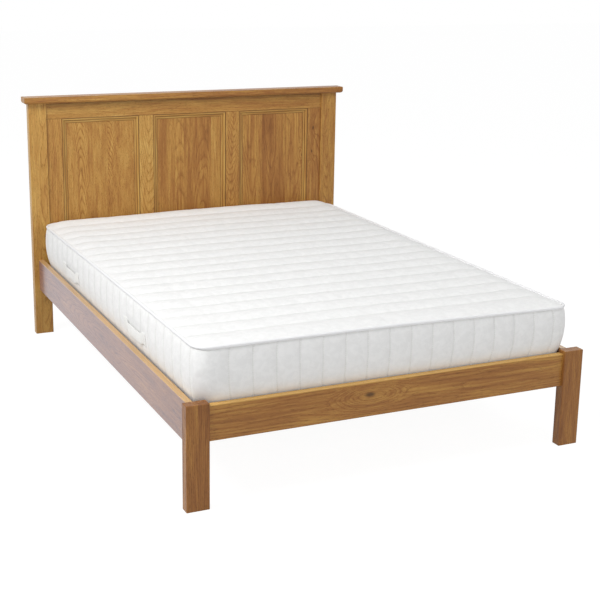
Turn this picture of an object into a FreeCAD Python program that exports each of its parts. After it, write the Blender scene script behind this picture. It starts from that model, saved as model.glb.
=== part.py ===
import FreeCAD, Part
import math
import os
import re

import Sketcher

# Panel bed: a headboard of three framed panels between two posts, a low foot end, side rails with
# a slatted base, and the mattress that lies in it.
# Frame: origin on the floor under the middle of the bed, X across, +Y to the headboard, Z up.
# Lengths are millimetres.

# Driving dimensions. Each is written once; every sub-part takes its size and place from these.
DRIVING = {
    # the clear bay for the mattress, and the rails round it
    "inner_w": 1360,            # between the side rails
    "bay_l": 1906,              # from the foot rail to the front of the headboard posts
    "rail_t": 22,               # thickness of side and foot rails
    "rail_top": 333,            # top edge of all rails above the floor
    "side_rail_h": 134,
    "foot_rail_h": 116,
    "rail_inset": 22,           # side rail's outer face, in from the legs' outer faces
    "foot_inset": 12,           # foot rail's face, back from the legs' front faces
    "rail_ease": 1.5,           # rounding of the rails' long edges
    # legs and posts
    "post_w": 76,
    "post_d": 38,
    "leg_proud": 11,            # foot legs' tops above the rails
    "head_h": 1012,             # posts, up to the underside of the cap
    "post_ease": 2.5,
    # headboard frame and panels
    "frame_t": 22,
    "frame_set": 8,             # frame's face, back from the posts' front faces
    "stile_w": 68,
    "muntin_w": 68,
    "top_rail_h": 70,
    "head_rail_h": 134,
    "panel_t": 8,
    "panel_set": 10,            # panel's face, back from the frame's face
    "panel_in": 8,              # how far a panel enters its grooves
    "groove_d": 9,
    "mould_w": 20,
    "mould_quirk": 1,           # moulding's edge, back from the frame's face
    # cap on top of the headboard
    "cap_t": 28,
    "cap_front": 25,            # overhang in front of the posts
    "cap_end": 21,              # overhang beyond each post
    "cap_round": 11,            # rounding under the front and end edges
    "cap_ease": 1.5,
    # mortise and tenon joints
    "tenon_t": 8,
    "tenon_l": 24,
    "tenon_shoulder": 12,
    "mortise_spare": 1,         # glue room at the end of a mortise
    "fit": 0.1,                 # clearance on each side of a tenon, dowel or screw
    # dowels
    "dowel_r": 4,
    "dowel_l": 40,
    "dowel_low": 68,            # the two dowels of a side rail, above its bottom edge
    "dowel_high": 106,
    "cap_dowel_up": 16,         # length of a cap dowel inside the cap
    "cap_dowel_x": 330,         # the two cap dowels in the top rail, from the middle
    # bolted side rail joints: stud, crescent washer and nut in a pocket of the rail
    "stud_r": 4,
    "stud_in": 26,              # length of stud inside the leg
    "stud_spare": 3,            # thread beyond the nut
    "stud_up": 26,              # stud above the rail's bottom edge
    "stud_slack": 0.5,          # clearance round the stud inside the rail
    "pocket_wall": 30,          # wood between the rail's end and the pocket
    "pocket_l": 34,
    "pocket_h": 30,
    "pocket_d": 19,
    "washer_r": 14,
    "washer_t": 3,
    "nut_af": 13,
    "nut_t": 6.5,
    # slatted base
    "mattress_sunk": 33,        # slats' upper face below the rails' top edges
    "slat_count": 14,
    "slat_w": 68,
    "slat_t": 18,
    "slat_end": 24,             # first and last slat, from the ends of the bay
    "slat_gap": 3,              # slat's end to the side rail
    "slat_ease": 2,
    "cleat_w": 25,
    "cleat_h": 40,
    "cleat_gap": 2,             # cleat's end to the leg or post
    "cleat_screws": 5,
    "cleat_screw_end": 90,      # first and last cleat screw, from the cleat's end
    "cleat_screw_l": 40,
    "slat_screw_l": 38,
    "screw_r": 2,
    "screw_head_r": 4,
    "screw_head_h": 3,
    # centre beam, its hangers and legs
    "beam_w": 35,
    "beam_h": 60,
    "hanger_t": 2,
    "hanger_d": 35,             # length of beam that a hanger carries
    "hanger_h": 48,
    "hanger_flange": 18,
    "hanger_screw_low": 12,
    "hanger_screw_high": 36,
    "hanger_screw_l": 16,
    "pan_head_r": 4.5,
    "pan_head_h": 2.5,
    "centre_leg_w": 45,
    "centre_leg_span": 640,     # between the middles of the two centre legs
    "leg_bolt_r": 4,
    "leg_bolt_up": 35,          # length of bolt inside the beam
    "leg_bolt_down": 45,
    # mattress, which fills the bay but for a gap on each side and at each end
    "mattress_side_gap": 5,
    "mattress_end_gap": 3,
    "mattress_rest": 0.3,       # clearance over the slats
    "border_h": 200,            # from the underside to the upper tape edge
    "crown_h": 13,              # crest of the quilted top above the upper tape edge
    "crown_seam": 5,            # depth of the seams below the crests
    "crown_fall": 12,           # how far the top falls from its crest to the tape edge
    "crown_edge": 75,           # width of the falling strip along the sides
    "crown_steps": 4,           # facets across that strip
    "channel_end": 134,         # first and last seam, from the mattress's ends
    "channel_seams": 17,
    "base_in": 10,              # how far the underside is drawn in from the mattress's plan
    "sill_up": 12,              # where the border has its plan size, above the rails' top edges
    "bulge_up": 82,             # where it bulges most over the rails, above their top edges
    "bulge_out": 9,
    "tape_out": 5,              # upper tape edge, outside the plan; the head end has no room
    "head_in": 2,
    "border_seam": 3,           # depth of the border's upright seams where it bulges most
    "border_x": 16,             # quilted parts of the border across each end
    "border_y": 23,             # and along each side
    "corner_r": 50,
    "piping_r": 4.4,
    "piping_notch": 9,
    "piping_proud": 1,
    "handle_l": 235,
    "handle_w": 44,
    "handle_proud": 2.5,        # handle's ends, outside the border's crest
    "handle_bow": 6,
    "handle_drop": 105,         # handles' middle below the upper tape edge
    "handle_foot_in": 582,      # middle of a foot handle, from the mattress's foot end
    "handle_head_in": 485,      # middle of a head handle, from the mattress's head end
}

# Places worked out from the driving dimensions, as formulas of the same sheet.
DERIVED = {
    "half_w": "inner_w / 2 + rail_t + rail_inset",
    "post_x": "half_w - post_w",
    "leg_h": "rail_top + leg_proud",
    "total_l": "foot_inset + rail_t + bay_l + post_d",
    "foot_y": "-total_l / 2",
    "bay_y": "foot_y + foot_inset + rail_t",
    "head_y": "bay_y + bay_l",
    "side_rail_y": "foot_y + post_d",
    "side_rail_l": "head_y - side_rail_y",
    "side_rail_z": "rail_top - side_rail_h",
    "foot_rail_z": "rail_top - foot_rail_h",
    "rail_mid": "inner_w / 2 + rail_t / 2",
    "rail_mid_in": "rail_mid - post_x",
    "frame_y": "head_y + frame_set",
    "head_rail_z": "rail_top - head_rail_h",
    "top_rail_z": "head_h - top_rail_h",
    "open_w": "(2 * post_x - 2 * stile_w - 2 * muntin_w) / 3",
    "open_h": "top_rail_z - rail_top",
    "mortise_l": "tenon_l + mortise_spare",
    "mortise_t": "tenon_t + 2 * fit",
    "groove_y": "panel_set - fit",
    "groove_w": "panel_t + 2 * fit",
    "frame_tenon_y": "(frame_t - tenon_t) / 2",
    "rail_tenon_y": "(rail_t - tenon_t) / 2",
    "dowel_in": "dowel_l / 2",
    "cap_dowel_down": "dowel_l - cap_dowel_up",
    "nut_r": "nut_af / sqrt(3)",
    "stud_l": "stud_in + pocket_wall + washer_t + nut_t + stud_spare",
    "slat_top": "rail_top - mattress_sunk",
    "slat_z": "slat_top - slat_t",
    "slat_l": "inner_w - 2 * slat_gap",
    "slat_pitch": "(bay_l - 2 * slat_end - slat_w) / (slat_count - 1)",
    "slat_y": "bay_y + slat_end",
    "cleat_x": "inner_w / 2 - cleat_w",
    "cleat_y": "side_rail_y + cleat_gap",
    "cleat_l": "side_rail_l - 2 * cleat_gap",
    "cleat_z": "slat_z - cleat_h",
    "cleat_screw_run": "cleat_l - 2 * cleat_screw_end",
    "beam_z": "slat_z - beam_h",
    "beam_y": "bay_y + hanger_t + fit",
    "beam_l": "frame_y - bay_y - 2 * (hanger_t + fit)",
    "hanger_z": "beam_z - hanger_t",
    "hanger_w": "beam_w + 2 * fit + 2 * hanger_t",
    "hanger_screw_x": "hanger_w / 2 + hanger_flange / 2",
    "mattress_w": "inner_w - 2 * mattress_side_gap",
    "mattress_l": "bay_l - 2 * mattress_end_gap",
    "mattress_y": "bay_y + bay_l / 2",
    "mattress_z": "slat_top + mattress_rest",
    "tape_z": "slat_top + border_h",
    "channel_pitch": "(mattress_l - 2 * channel_end) / (channel_seams - 1)",
    "handle_z": "tape_z - handle_drop",
    "handle_foot_y": "mattress_y - mattress_l / 2 + handle_foot_in",
    "handle_head_y": "mattress_y + mattress_l / 2 - handle_head_in",
}

TOUCH = 0.01                    # two lengths closer than this are the same place
SIDES = {"left": -1, "right": 1}

DOC = FreeCAD.newDocument("panel_bed")
SHEET = DOC.addObject("Spreadsheet::Sheet", "dims")
NODES = []                      # finished sub-parts, in the order they are made


def fill_sheet():
    """Write every dimension into the sheet, with its name beside it and as its alias."""
    for row, (name, value) in enumerate(list(DRIVING.items()) + list(DERIVED.items()), start=1):
        text = str(value) if name in DRIVING else "=" + value
        SHEET.set(f"A{row}", name)
        SHEET.set(f"B{row}", text)
        SHEET.setAlias(f"B{row}", name)
    DOC.recompute()


def size(name):
    """A dimension as a number, for counts and for shapes made point by point."""
    return float(SHEET.get(name))


def bound(text):
    """Expression text in which each dimension is read from the sheet."""
    return re.sub(r"[a-z]\w*", lambda word: "dims." + word.group(), str(text))


def bind(obj, **properties):
    """Tie properties of an object to expressions."""
    for name, text in properties.items():
        obj.setExpression(name, bound(text))


def place(obj, x, y, z):
    """Tie an object's position to three expressions."""
    for axis, text in zip("xyz", (x, y, z)):
        obj.setExpression("Placement.Base." + axis, bound(text))


def node(obj, label):
    """Name a finished sub-part and keep it for export."""
    obj.Label = label
    NODES.append(obj)
    return obj


# The way a cylinder, cone or prism points: its own axis is +Z before it is turned.
TURN = {
    "X": FreeCAD.Rotation(FreeCAD.Vector(0, 1, 0), 90),
    "-X": FreeCAD.Rotation(FreeCAD.Vector(0, 1, 0), -90),
    "Y": FreeCAD.Rotation(FreeCAD.Vector(1, 0, 0), -90),
    "-Y": FreeCAD.Rotation(FreeCAD.Vector(1, 0, 0), 90),
    "Z": FreeCAD.Rotation(),
    "-Z": FreeCAD.Rotation(FreeCAD.Vector(1, 0, 0), 180),
}


# ---------------------------------------------------------------- bodies

def origin_feature(body, role):
    """One of a body's own origin planes or axes."""
    return next(item for item in body.Origin.OriginFeatures if item.Role == role)


def footprint(body, width, depth):
    """A rectangle on the body's XY plane, one corner on its origin."""
    sketch = body.newObject("Sketcher::SketchObject", body.Name + "_footprint")
    sketch.AttachmentSupport = [(origin_feature(body, "XY_Plane"), "")]
    sketch.MapMode = "FlatFace"
    corners = [FreeCAD.Vector(*corner, 0) for corner in ((0, 0), (10, 0), (10, 10), (0, 10))]
    for index in range(4):
        sketch.addGeometry(Part.LineSegment(corners[index], corners[(index + 1) % 4]), False)
    for index in range(4):
        sketch.addConstraint(Sketcher.Constraint("Coincident", index, 2, (index + 1) % 4, 1))
    for index, kind in enumerate(("Horizontal", "Vertical", "Horizontal", "Vertical")):
        sketch.addConstraint(Sketcher.Constraint(kind, index))
    sketch.addConstraint(Sketcher.Constraint("Coincident", 0, 1, -1, 1))
    for name, line, kind, text in (("width", 0, "DistanceX", width), ("depth", 1, "DistanceY", depth)):
        number = sketch.addConstraint(Sketcher.Constraint(kind, line, 1, line, 2, 10))
        sketch.renameConstraint(number, name)
        sketch.setExpression("Constraints." + name, bound(text))
    return sketch


def board(label, dims, at):
    """A rectangular board, its lowest corner at the body's origin."""
    body = node(DOC.addObject("PartDesign::Body", label), label)
    pad = body.newObject("PartDesign::Pad", label + "_pad")
    pad.Profile = footprint(body, dims[0], dims[1])
    bind(pad, Length=dims[2])
    body.Tip = pad
    place(body, *at)
    return body


def ease(body, radius, wanted):
    """Round the edges of the body's last solid that pass a test of edge box and body box."""
    DOC.recompute()
    base = body.Tip
    whole = base.Shape.BoundBox
    edges = enumerate(base.Shape.Edges, start=1)
    names = [f"Edge{number}" for number, edge in edges if wanted(edge.BoundBox, whole)]
    fillet = body.newObject("PartDesign::Fillet", body.Name + "_ease")
    fillet.Base = (base, names)
    bind(fillet, Radius=radius)
    body.Tip = fillet


def runs_x(edge, whole):
    return edge.XLength > TOUCH


def runs_y(edge, whole):
    return edge.YLength > TOUCH


def upright(edge, whole):
    return edge.ZLength > TOUCH


def upright_or_top(edge, whole):
    return edge.ZLength > TOUCH or edge.ZMin > whole.ZMax - TOUCH


def at_top(edge, whole):
    return edge.ZMin > whole.ZMax - TOUCH


def block(body, kind, name, dims, at):
    """Add a box to a body, or cut one from it, in the body's own axes."""
    feature = body.newObject(f"PartDesign::{kind}Box", f"{body.Name}_{name}")
    bind(feature, Length=dims[0], Width=dims[1], Height=dims[2])
    place(feature, *at)
    body.Tip = feature
    return feature


def bore(body, name, radius, depth, at, axis):
    """A round hole into a body, from a point on its face and along an axis."""
    feature = body.newObject("PartDesign::SubtractiveCylinder", f"{body.Name}_{name}")
    feature.Placement = FreeCAD.Placement(FreeCAD.Vector(), TURN[axis])
    bind(feature, Radius=radius, Height=depth)
    place(feature, *at)
    body.Tip = feature
    return feature


def countersink(body, name, at, axis):
    """The conical seat of a screw head."""
    feature = body.newObject("PartDesign::SubtractiveCone", f"{body.Name}_{name}")
    feature.Placement = FreeCAD.Placement(FreeCAD.Vector(), TURN[axis])
    bind(feature, Radius1="screw_head_r + fit", Radius2="screw_r + fit", Height="screw_head_h")
    place(feature, *at)
    body.Tip = feature
    return feature


def repeat_along_y(body, features, count, length):
    """Copy holes of a body at even steps along its length."""
    pattern = body.newObject("PartDesign::LinearPattern", features[0].Name + "_row")
    pattern.Originals = features
    pattern.Direction = (origin_feature(body, "Y_Axis"), [""])
    bind(pattern, Length=length, Occurrences=count)
    body.Tip = pattern


def across(side, inner, thickness):
    """Low X of a piece that spans inner to inner + thickness from the middle, on one side."""
    return inner if side > 0 else f"-({inner}) - ({thickness})"


def from_inner(side, width, start, extent="0"):
    """The same inside a piece, measured from the face that looks to the middle of the bed."""
    return start if side > 0 else f"({width}) - ({start}) - ({extent})"


# ---------------------------------------------------------------- legs, posts and rails

def leg_bores(body, side, face_y, axis, rail_z):
    """Stud and dowel holes in a leg or post for the side rail that ends on it."""
    x = from_inner(side, "post_w", "rail_mid_in")
    bore(body, "stud_hole", "stud_r + fit", "stud_in + mortise_spare",
         (x, face_y, f"{rail_z} + stud_up"), axis)
    for name in ("dowel_low", "dowel_high"):
        bore(body, name, "dowel_r + fit", "dowel_in + mortise_spare",
             (x, face_y, f"{rail_z} + {name}"), axis)


def mortise(body, name, side, tenon_y, low, height):
    """A mortise in the inner face of a leg or post."""
    block(body, "Subtractive", name,
          ("mortise_l", "mortise_t", f"{height} - 2 * tenon_shoulder + 2 * fit"),
          (from_inner(side, "post_w", "0", "mortise_l"), f"{tenon_y} - fit",
           f"{low} + tenon_shoulder - fit"))


def tenons(body, length, tenon_y, height):
    """A tenon on each end of a rail that lies across the bed."""
    for name, x in (("tenon_left", "-tenon_l"), ("tenon_right", length)):
        block(body, "Additive", name,
              ("tenon_l", "tenon_t", f"{height} - 2 * tenon_shoulder"),
              (x, tenon_y, "tenon_shoulder"))


def make_posts():
    for name, side in SIDES.items():
        body = board(f"headboard_post_{name}", ("post_w", "post_d", "head_h"),
                     (across(side, "post_x", "post_w"), "head_y", "0"))
        ease(body, "post_ease", upright)
        mortise(body, "top_mortise", side, "frame_set + frame_tenon_y", "top_rail_z", "top_rail_h")
        mortise(body, "low_mortise", side, "frame_set + frame_tenon_y", "head_rail_z", "head_rail_h")
        leg_bores(body, side, "0", "Y", "side_rail_z")
        bore(body, "cap_dowel", "dowel_r + fit", "cap_dowel_down + mortise_spare",
             ("post_w / 2", "post_d / 2", "head_h"), "-Z")


def make_foot_legs():
    for name, side in SIDES.items():
        body = board(f"foot_leg_{name}", ("post_w", "post_d", "leg_h"),
                     (across(side, "post_x", "post_w"), "foot_y", "0"))
        ease(body, "post_ease", upright_or_top)
        mortise(body, "mortise", side, "foot_inset + rail_tenon_y", "foot_rail_z", "foot_rail_h")
        leg_bores(body, side, "post_d", "-Y", "side_rail_z")


def make_foot_rail():
    body = board("foot_rail", ("2 * post_x", "rail_t", "foot_rail_h"),
                 ("-post_x", "foot_y + foot_inset", "foot_rail_z"))
    ease(body, "rail_ease", runs_x)
    tenons(body, "2 * post_x", "rail_tenon_y", "foot_rail_h")
    hanger_pilots(body, "post_x", "rail_t", "-Y", "foot_rail_z")


def make_side_rails():
    for name, side in SIDES.items():
        body = board(f"side_rail_{name}", ("rail_t", "side_rail_l", "side_rail_h"),
                     (across(side, "inner_w / 2", "rail_t"), "side_rail_y", "side_rail_z"))
        ease(body, "rail_ease", runs_y)
        for end, face, axis, pocket_y in (
                ("foot", "0", "Y", "pocket_wall"),
                ("head", "side_rail_l", "-Y", "side_rail_l - pocket_wall - pocket_l")):
            bore(body, end + "_stud", "stud_r + stud_slack", "pocket_wall + 1",
                 ("rail_t / 2", face, "stud_up"), axis)
            block(body, "Subtractive", end + "_pocket", ("pocket_d", "pocket_l", "pocket_h"),
                  (from_inner(side, "rail_t", "0", "pocket_d"), pocket_y, "stud_up - pocket_h / 2"))
            for dowel in ("dowel_low", "dowel_high"):
                bore(body, f"{end}_{dowel}", "dowel_r + fit", "dowel_in + mortise_spare",
                     ("rail_t / 2", face, dowel), axis)
        pilot = bore(body, "cleat_pilot", "screw_r + fit", "cleat_screw_l - cleat_w + mortise_spare",
                     (from_inner(side, "rail_t", "0"), "cleat_gap + cleat_screw_end",
                      "cleat_z + cleat_h / 2 - side_rail_z"), "X" if side > 0 else "-X")
        repeat_along_y(body, [pilot], "cleat_screws", "cleat_screw_run")


# ---------------------------------------------------------------- headboard

def make_cap():
    body = board("headboard_cap", ("2 * half_w + 2 * cap_end", "cap_front + post_d", "cap_t"),
                 ("-half_w - cap_end", "head_y - cap_front", "head_h"))

    def under_front_or_end(edge, whole):
        low = edge.ZMax < whole.ZMin + TOUCH
        return low and edge.YMin < whole.YMax - TOUCH

    ease(body, "cap_round", under_front_or_end)
    ease(body, "cap_ease", at_top)
    for number, x in enumerate(cap_dowel_places(), start=1):
        bore(body, f"dowel_{number}", "dowel_r + fit", "cap_dowel_up + mortise_spare",
             (f"half_w + cap_end + {x}", "cap_front + post_d / 2", "0"), "Z")


def cap_dowel_places():
    """X of the cap's dowels: one in each post, two in the top rail."""
    return ["-half_w + post_w / 2", "-cap_dowel_x", "cap_dowel_x", "half_w - post_w / 2"]


def stile_places():
    """Each upright of the headboard frame: its name, low X and width."""
    return [
        ("headboard_stile_left", "-post_x", "stile_w"),
        ("headboard_muntin_left", "-post_x + stile_w + open_w", "muntin_w"),
        ("headboard_muntin_right", "post_x - stile_w - open_w - muntin_w", "muntin_w"),
        ("headboard_stile_right", "post_x - stile_w", "stile_w"),
    ]


def make_head_rails():
    """Top and bottom rails: grooved for the panels, with mortises for the uprights."""
    for label, height, z, groove_z, mortise_z in (
            ("headboard_top_rail", "top_rail_h", "top_rail_z", "0", "0"),
            ("headboard_bottom_rail", "head_rail_h", "head_rail_z",
             "head_rail_h - groove_d", "head_rail_h - mortise_l")):
        body = board(label, ("2 * post_x", "frame_t", height), ("-post_x", "frame_y", z))
        tenons(body, "2 * post_x", "frame_tenon_y", height)
        block(body, "Subtractive", "groove", ("2 * post_x", "groove_w", "groove_d"),
              ("0", "groove_y", groove_z))
        for upright_name, x, width in stile_places():
            block(body, "Subtractive", upright_name + "_mortise",
                  (f"{width} - 2 * tenon_shoulder + 2 * fit", "groove_w", "mortise_l"),
                  (f"post_x + {x} + tenon_shoulder - fit", "groove_y", mortise_z))
        if label == "headboard_top_rail":
            for number, x in enumerate(cap_dowel_places()[1:3], start=1):
                bore(body, f"dowel_{number}", "dowel_r + fit", "cap_dowel_down + mortise_spare",
                     (f"post_x + {x}", "post_d / 2 - frame_set", "top_rail_h"), "-Z")
        else:
            hanger_pilots(body, "post_x", "0", "Y", z)


def make_uprights():
    """Outer stiles and muntins: tenons into the rails, grooves for the panels."""
    for label, x, width in stile_places():
        body = board(label, (width, "frame_t", "open_h"), (x, "frame_y", "rail_top"))
        for name, z in (("low_tenon", "-tenon_l"), ("top_tenon", "open_h")):
            block(body, "Additive", name, (f"{width} - 2 * tenon_shoulder", "panel_t", "tenon_l"),
                  ("tenon_shoulder", "panel_set", z))
        grooves = {"left_groove": "0", "right_groove": f"{width} - groove_d"}
        if label == "headboard_stile_left":
            del grooves["left_groove"]
        if label == "headboard_stile_right":
            del grooves["right_groove"]
        for name, groove_x in grooves.items():
            block(body, "Subtractive", name, ("groove_d", "groove_w", "open_h"),
                  (groove_x, "groove_y", "0"))


def opening_places():
    """Low X of each panel opening, by name."""
    return {
        "left": "-post_x + stile_w",
        "centre": "-open_w / 2",
        "right": "post_x - stile_w - open_w",
    }


def make_panels():
    for name, x in opening_places().items():
        board(f"headboard_panel_{name}",
              ("open_w + 2 * panel_in", "panel_t", "open_h + 2 * panel_in"),
              (f"{x} - panel_in", "frame_y + panel_set", "rail_top - panel_in"))


# The moulding's profile. Each place is a share of its depth, from the frame's face back to the
# panel, and a share of its width, from the edge of the opening inwards.
FLAT_END = 0.08                 # share of the width that is flat beside the frame
ROUND_MIDDLE = (0.22, 0.33)     # the large round
ROUND_END = (0.60, 0.45)
LEDGE_START = (0.74, 0.45)      # the step below it
LEDGE_END = (0.74, 0.57)
BEAD_MIDDLE = (0.78, 0.82)      # the flatter round beside the panel
BEAD_END = (0.94, 1.0)


def moulding_strip(length):
    """A strip along X, its back on the panel, cut to a mitre at both ends."""
    width = size("mould_w")
    depth = size("panel_set")
    quirk = size("mould_quirk")

    def point(depth_share, width_share):
        return FreeCAD.Vector(0, depth_share * depth, width_share * width)

    face = quirk / depth
    edges = [
        Part.LineSegment(point(face, 0), point(face, FLAT_END)),
        Part.Arc(point(face, FLAT_END), point(*ROUND_MIDDLE), point(*ROUND_END)),
        Part.LineSegment(point(*ROUND_END), point(*LEDGE_START)),
        Part.LineSegment(point(*LEDGE_START), point(*LEDGE_END)),
        Part.Arc(point(*LEDGE_END), point(*BEAD_MIDDLE), point(*BEAD_END)),
        Part.LineSegment(point(*BEAD_END), point(1, 1)),
        Part.LineSegment(point(1, 1), point(1, 0)),
        Part.LineSegment(point(1, 0), point(face, 0)),
    ]
    profile = Part.Face(Part.Wire([edge.toShape() for edge in edges]))
    run = profile.extrude(FreeCAD.Vector(length, 0, 0))
    corners = [(0, 0), (length, 0), (length - width, width), (width, width), (0, 0)]
    mitre = Part.Face(Part.makePolygon([FreeCAD.Vector(x, 0, z) for x, z in corners]))
    return run.common(mitre.extrude(FreeCAD.Vector(0, depth, 0))).Solids[0]


def make_mouldings():
    """Four mitred strips round each panel, planted inside the frame."""
    wide = size("open_w")
    high = size("open_h")
    starts = {"left": -size("post_x") + size("stile_w"), "centre": -wide / 2,
              "right": size("post_x") - size("stile_w") - wide}
    for name, x in starts.items():
        strips = []
        for length, dx, dz, angle in ((wide, 0, 0, 0), (high, wide, 0, -90),
                                      (wide, wide, high, 180), (high, 0, high, 90)):
            strip = moulding_strip(length)
            strip.Placement = FreeCAD.Placement(
                FreeCAD.Vector(dx, 0, dz), FreeCAD.Rotation(FreeCAD.Vector(0, 1, 0), angle))
            strips.append(strip)
        ring = DOC.addObject("Part::Feature", f"panel_moulding_{name}")
        ring.Shape = Part.makeCompound(strips)
        ring.Placement = FreeCAD.Placement(
            FreeCAD.Vector(x, size("frame_y"), size("rail_top")), FreeCAD.Rotation())
        node(ring, f"panel_moulding_{name}")


# ---------------------------------------------------------------- slatted base

def hanger_pilots(body, middle_x, face_y, axis, low_z):
    """Pilot holes of one hanger's screws in the rail that carries it."""
    for x_name, sign in (("left", "-"), ("right", "+")):
        for z_name in ("hanger_screw_low", "hanger_screw_high"):
            bore(body, f"{z_name}_{x_name}", "screw_r + fit", "hanger_screw_l + mortise_spare",
                 (f"{middle_x} {sign} hanger_screw_x", face_y, f"hanger_z + {z_name} - {low_z}"),
                 axis)


def make_cleats():
    for name, side in SIDES.items():
        body = board(f"slat_cleat_{name}", ("cleat_w", "cleat_l", "cleat_h"),
                     (across(side, "cleat_x", "cleat_w"), "cleat_y", "cleat_z"))
        inner_x = from_inner(side, "cleat_w", "0")
        outwards = "X" if side > 0 else "-X"
        hole_at = (inner_x, "cleat_screw_end", "cleat_h / 2")
        hole = bore(body, "screw", "screw_r + fit", "cleat_w", hole_at, outwards)
        seat = countersink(body, "seat", hole_at, outwards)
        repeat_along_y(body, [hole, seat], "cleat_screws", "cleat_screw_run")
        pilot = bore(body, "slat_pilot", "screw_r + fit", "slat_screw_l - slat_t + mortise_spare",
                     ("cleat_w / 2", "slat_y + slat_w / 2 - cleat_y", "cleat_h"), "-Z")
        repeat_along_y(body, [pilot], "slat_count", "slat_pitch * (slat_count - 1)")


def make_slats():
    for number in range(int(size("slat_count"))):
        body = board(f"slat_{number + 1:02d}", ("slat_l", "slat_w", "slat_t"),
                     ("-slat_l / 2", f"slat_y + {number} * slat_pitch", "slat_z"))
        ease(body, "slat_ease", runs_x)
        for side_name, x in (("left", "cleat_w / 2 - slat_gap"),
                             ("right", "slat_l + slat_gap - cleat_w / 2")):
            at = (x, "slat_w / 2", "slat_t")
            bore(body, side_name + "_screw", "screw_r + fit", "slat_t", at, "-Z")
            countersink(body, side_name + "_seat", at, "-Z")


def make_beam():
    body = board("centre_beam", ("beam_w", "beam_l", "beam_h"), ("-beam_w / 2", "beam_y", "beam_z"))
    for name, sign in (("foot", "-"), ("head", "+")):
        bore(body, name + "_bolt", "leg_bolt_r + fit", "leg_bolt_up + mortise_spare",
             ("beam_w / 2", f"mattress_y {sign} centre_leg_span / 2 - beam_y", "0"), "Z")
        leg = board(f"centre_leg_{name}", ("centre_leg_w", "centre_leg_w", "beam_z"),
                    ("-centre_leg_w / 2",
                     f"mattress_y {sign} centre_leg_span / 2 - centre_leg_w / 2", "0"))
        ease(leg, "slat_ease", upright)
        bore(leg, "bolt", "leg_bolt_r + fit", "leg_bolt_down + mortise_spare",
             ("centre_leg_w / 2", "centre_leg_w / 2", "beam_z"), "-Z")


def make_hangers():
    """A steel saddle at each end of the beam, with a flange on each side for its screws."""
    for name, low_y, plate_y, trough_y, axis in (
            ("foot", "bay_y", "0", "hanger_t", "Y"),
            ("head", "frame_y - hanger_d - hanger_t", "hanger_d", "0", "-Y")):
        body = board(f"beam_hanger_{name}", ("hanger_w", "hanger_d + hanger_t", "hanger_h"),
                     ("-hanger_w / 2", low_y, "hanger_z"))
        block(body, "Additive", "plate",
              ("hanger_w + 2 * hanger_flange", "hanger_t", "hanger_h"),
              ("-hanger_flange", plate_y, "0"))
        block(body, "Subtractive", "trough",
              ("beam_w + 2 * fit", "hanger_d", "hanger_h - hanger_t"),
              ("hanger_t", trough_y, "hanger_t"))
        for side_name, sign in (("left", "-"), ("right", "+")):
            for height in ("hanger_screw_low", "hanger_screw_high"):
                bore(body, f"{height}_{side_name}", "screw_r + fit", "hanger_t",
                     (f"hanger_w / 2 {sign} hanger_screw_x",
                      plate_y if axis == "Y" else "hanger_d + hanger_t", height), axis)


# ---------------------------------------------------------------- fasteners

def rod(name, radius, length, at, axis):
    """A plain cylinder from a point along an axis."""
    cylinder = DOC.addObject("Part::Cylinder", name)
    cylinder.Placement = FreeCAD.Placement(FreeCAD.Vector(), TURN[axis])
    bind(cylinder, Radius=radius, Height=length)
    place(cylinder, *at)
    return cylinder


def screw(name, length, at, axis):
    """A countersunk screw, the flat of its head at a point, pointing along an axis."""
    shank = rod(name + "_shank", "screw_r", length, at, axis)
    head = DOC.addObject("Part::Cone", name + "_head")
    head.Placement = FreeCAD.Placement(FreeCAD.Vector(), TURN[axis])
    bind(head, Radius1="screw_head_r", Radius2="screw_r", Height="screw_head_h")
    place(head, *at)
    return joined(name, shank, head)


def joined(name, first, second):
    fuse = DOC.addObject("Part::Fuse", name)
    fuse.Base = first
    fuse.Tool = second
    return fuse


def less(name, base, tool):
    cut = DOC.addObject("Part::Cut", name)
    cut.Base = base
    cut.Tool = tool
    return cut


def group(label, pieces):
    """Identical fasteners as one node of separate solids."""
    compound = DOC.addObject("Part::Compound", label)
    compound.Links = pieces
    return node(compound, label)


def make_rail_fittings():
    """Stud, washer, nut and dowels at the four ends of the side rails."""
    studs, washers, nuts, dowels = [], [], [], []
    for side_name, side in SIDES.items():
        x = "rail_mid" if side > 0 else "-rail_mid"
        z = "side_rail_z + stud_up"
        for end, face, sign, axis in (("foot", "side_rail_y", "+", "Y"),
                                      ("head", "head_y", "-", "-Y")):
            tag = f"{side_name}_{end}"
            back = "-" if sign == "+" else "+"
            studs.append(rod(f"stud_{tag}", "stud_r", "stud_l",
                             (x, f"{face} {back} stud_in", z), axis))
            washers.append(crescent_washer(tag, side, x, f"{face} {sign} pocket_wall", z, axis))
            nuts.append(hexagon_nut(tag, x, f"{face} {sign} (pocket_wall + washer_t)", z, axis))
            for height in ("dowel_low", "dowel_high"):
                dowels.append(rod(f"{height}_{tag}", "dowel_r", "dowel_l",
                                  (x, f"{face} {back} dowel_in", f"side_rail_z + {height}"), axis))
    group("rail_studs", studs)
    group("rail_crescent_washers", washers)
    group("rail_nuts", nuts)
    group("rail_dowels", dowels)


def crescent_washer(tag, side, x, y, z, axis):
    """A round washer cut off where the pocket ends and at the rail's inner face."""
    disc = rod(f"washer_disc_{tag}", "washer_r", "washer_t", (x, y, z), axis)
    keep = DOC.addObject("Part::Box", f"washer_keep_{tag}")
    bind(keep, Length="pocket_d - fit", Width="2 * washer_t", Height="2 * washer_r")
    place(keep, across(side, "inner_w / 2", "pocket_d - fit"), f"{y} - washer_t", f"{z} - washer_r")
    plate = DOC.addObject("Part::Common", f"washer_plate_{tag}")
    plate.Base = disc
    plate.Tool = keep
    hole = rod(f"washer_hole_{tag}", "stud_r + fit", "washer_t", (x, y, z), axis)
    return less(f"washer_{tag}", plate, hole)


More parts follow.
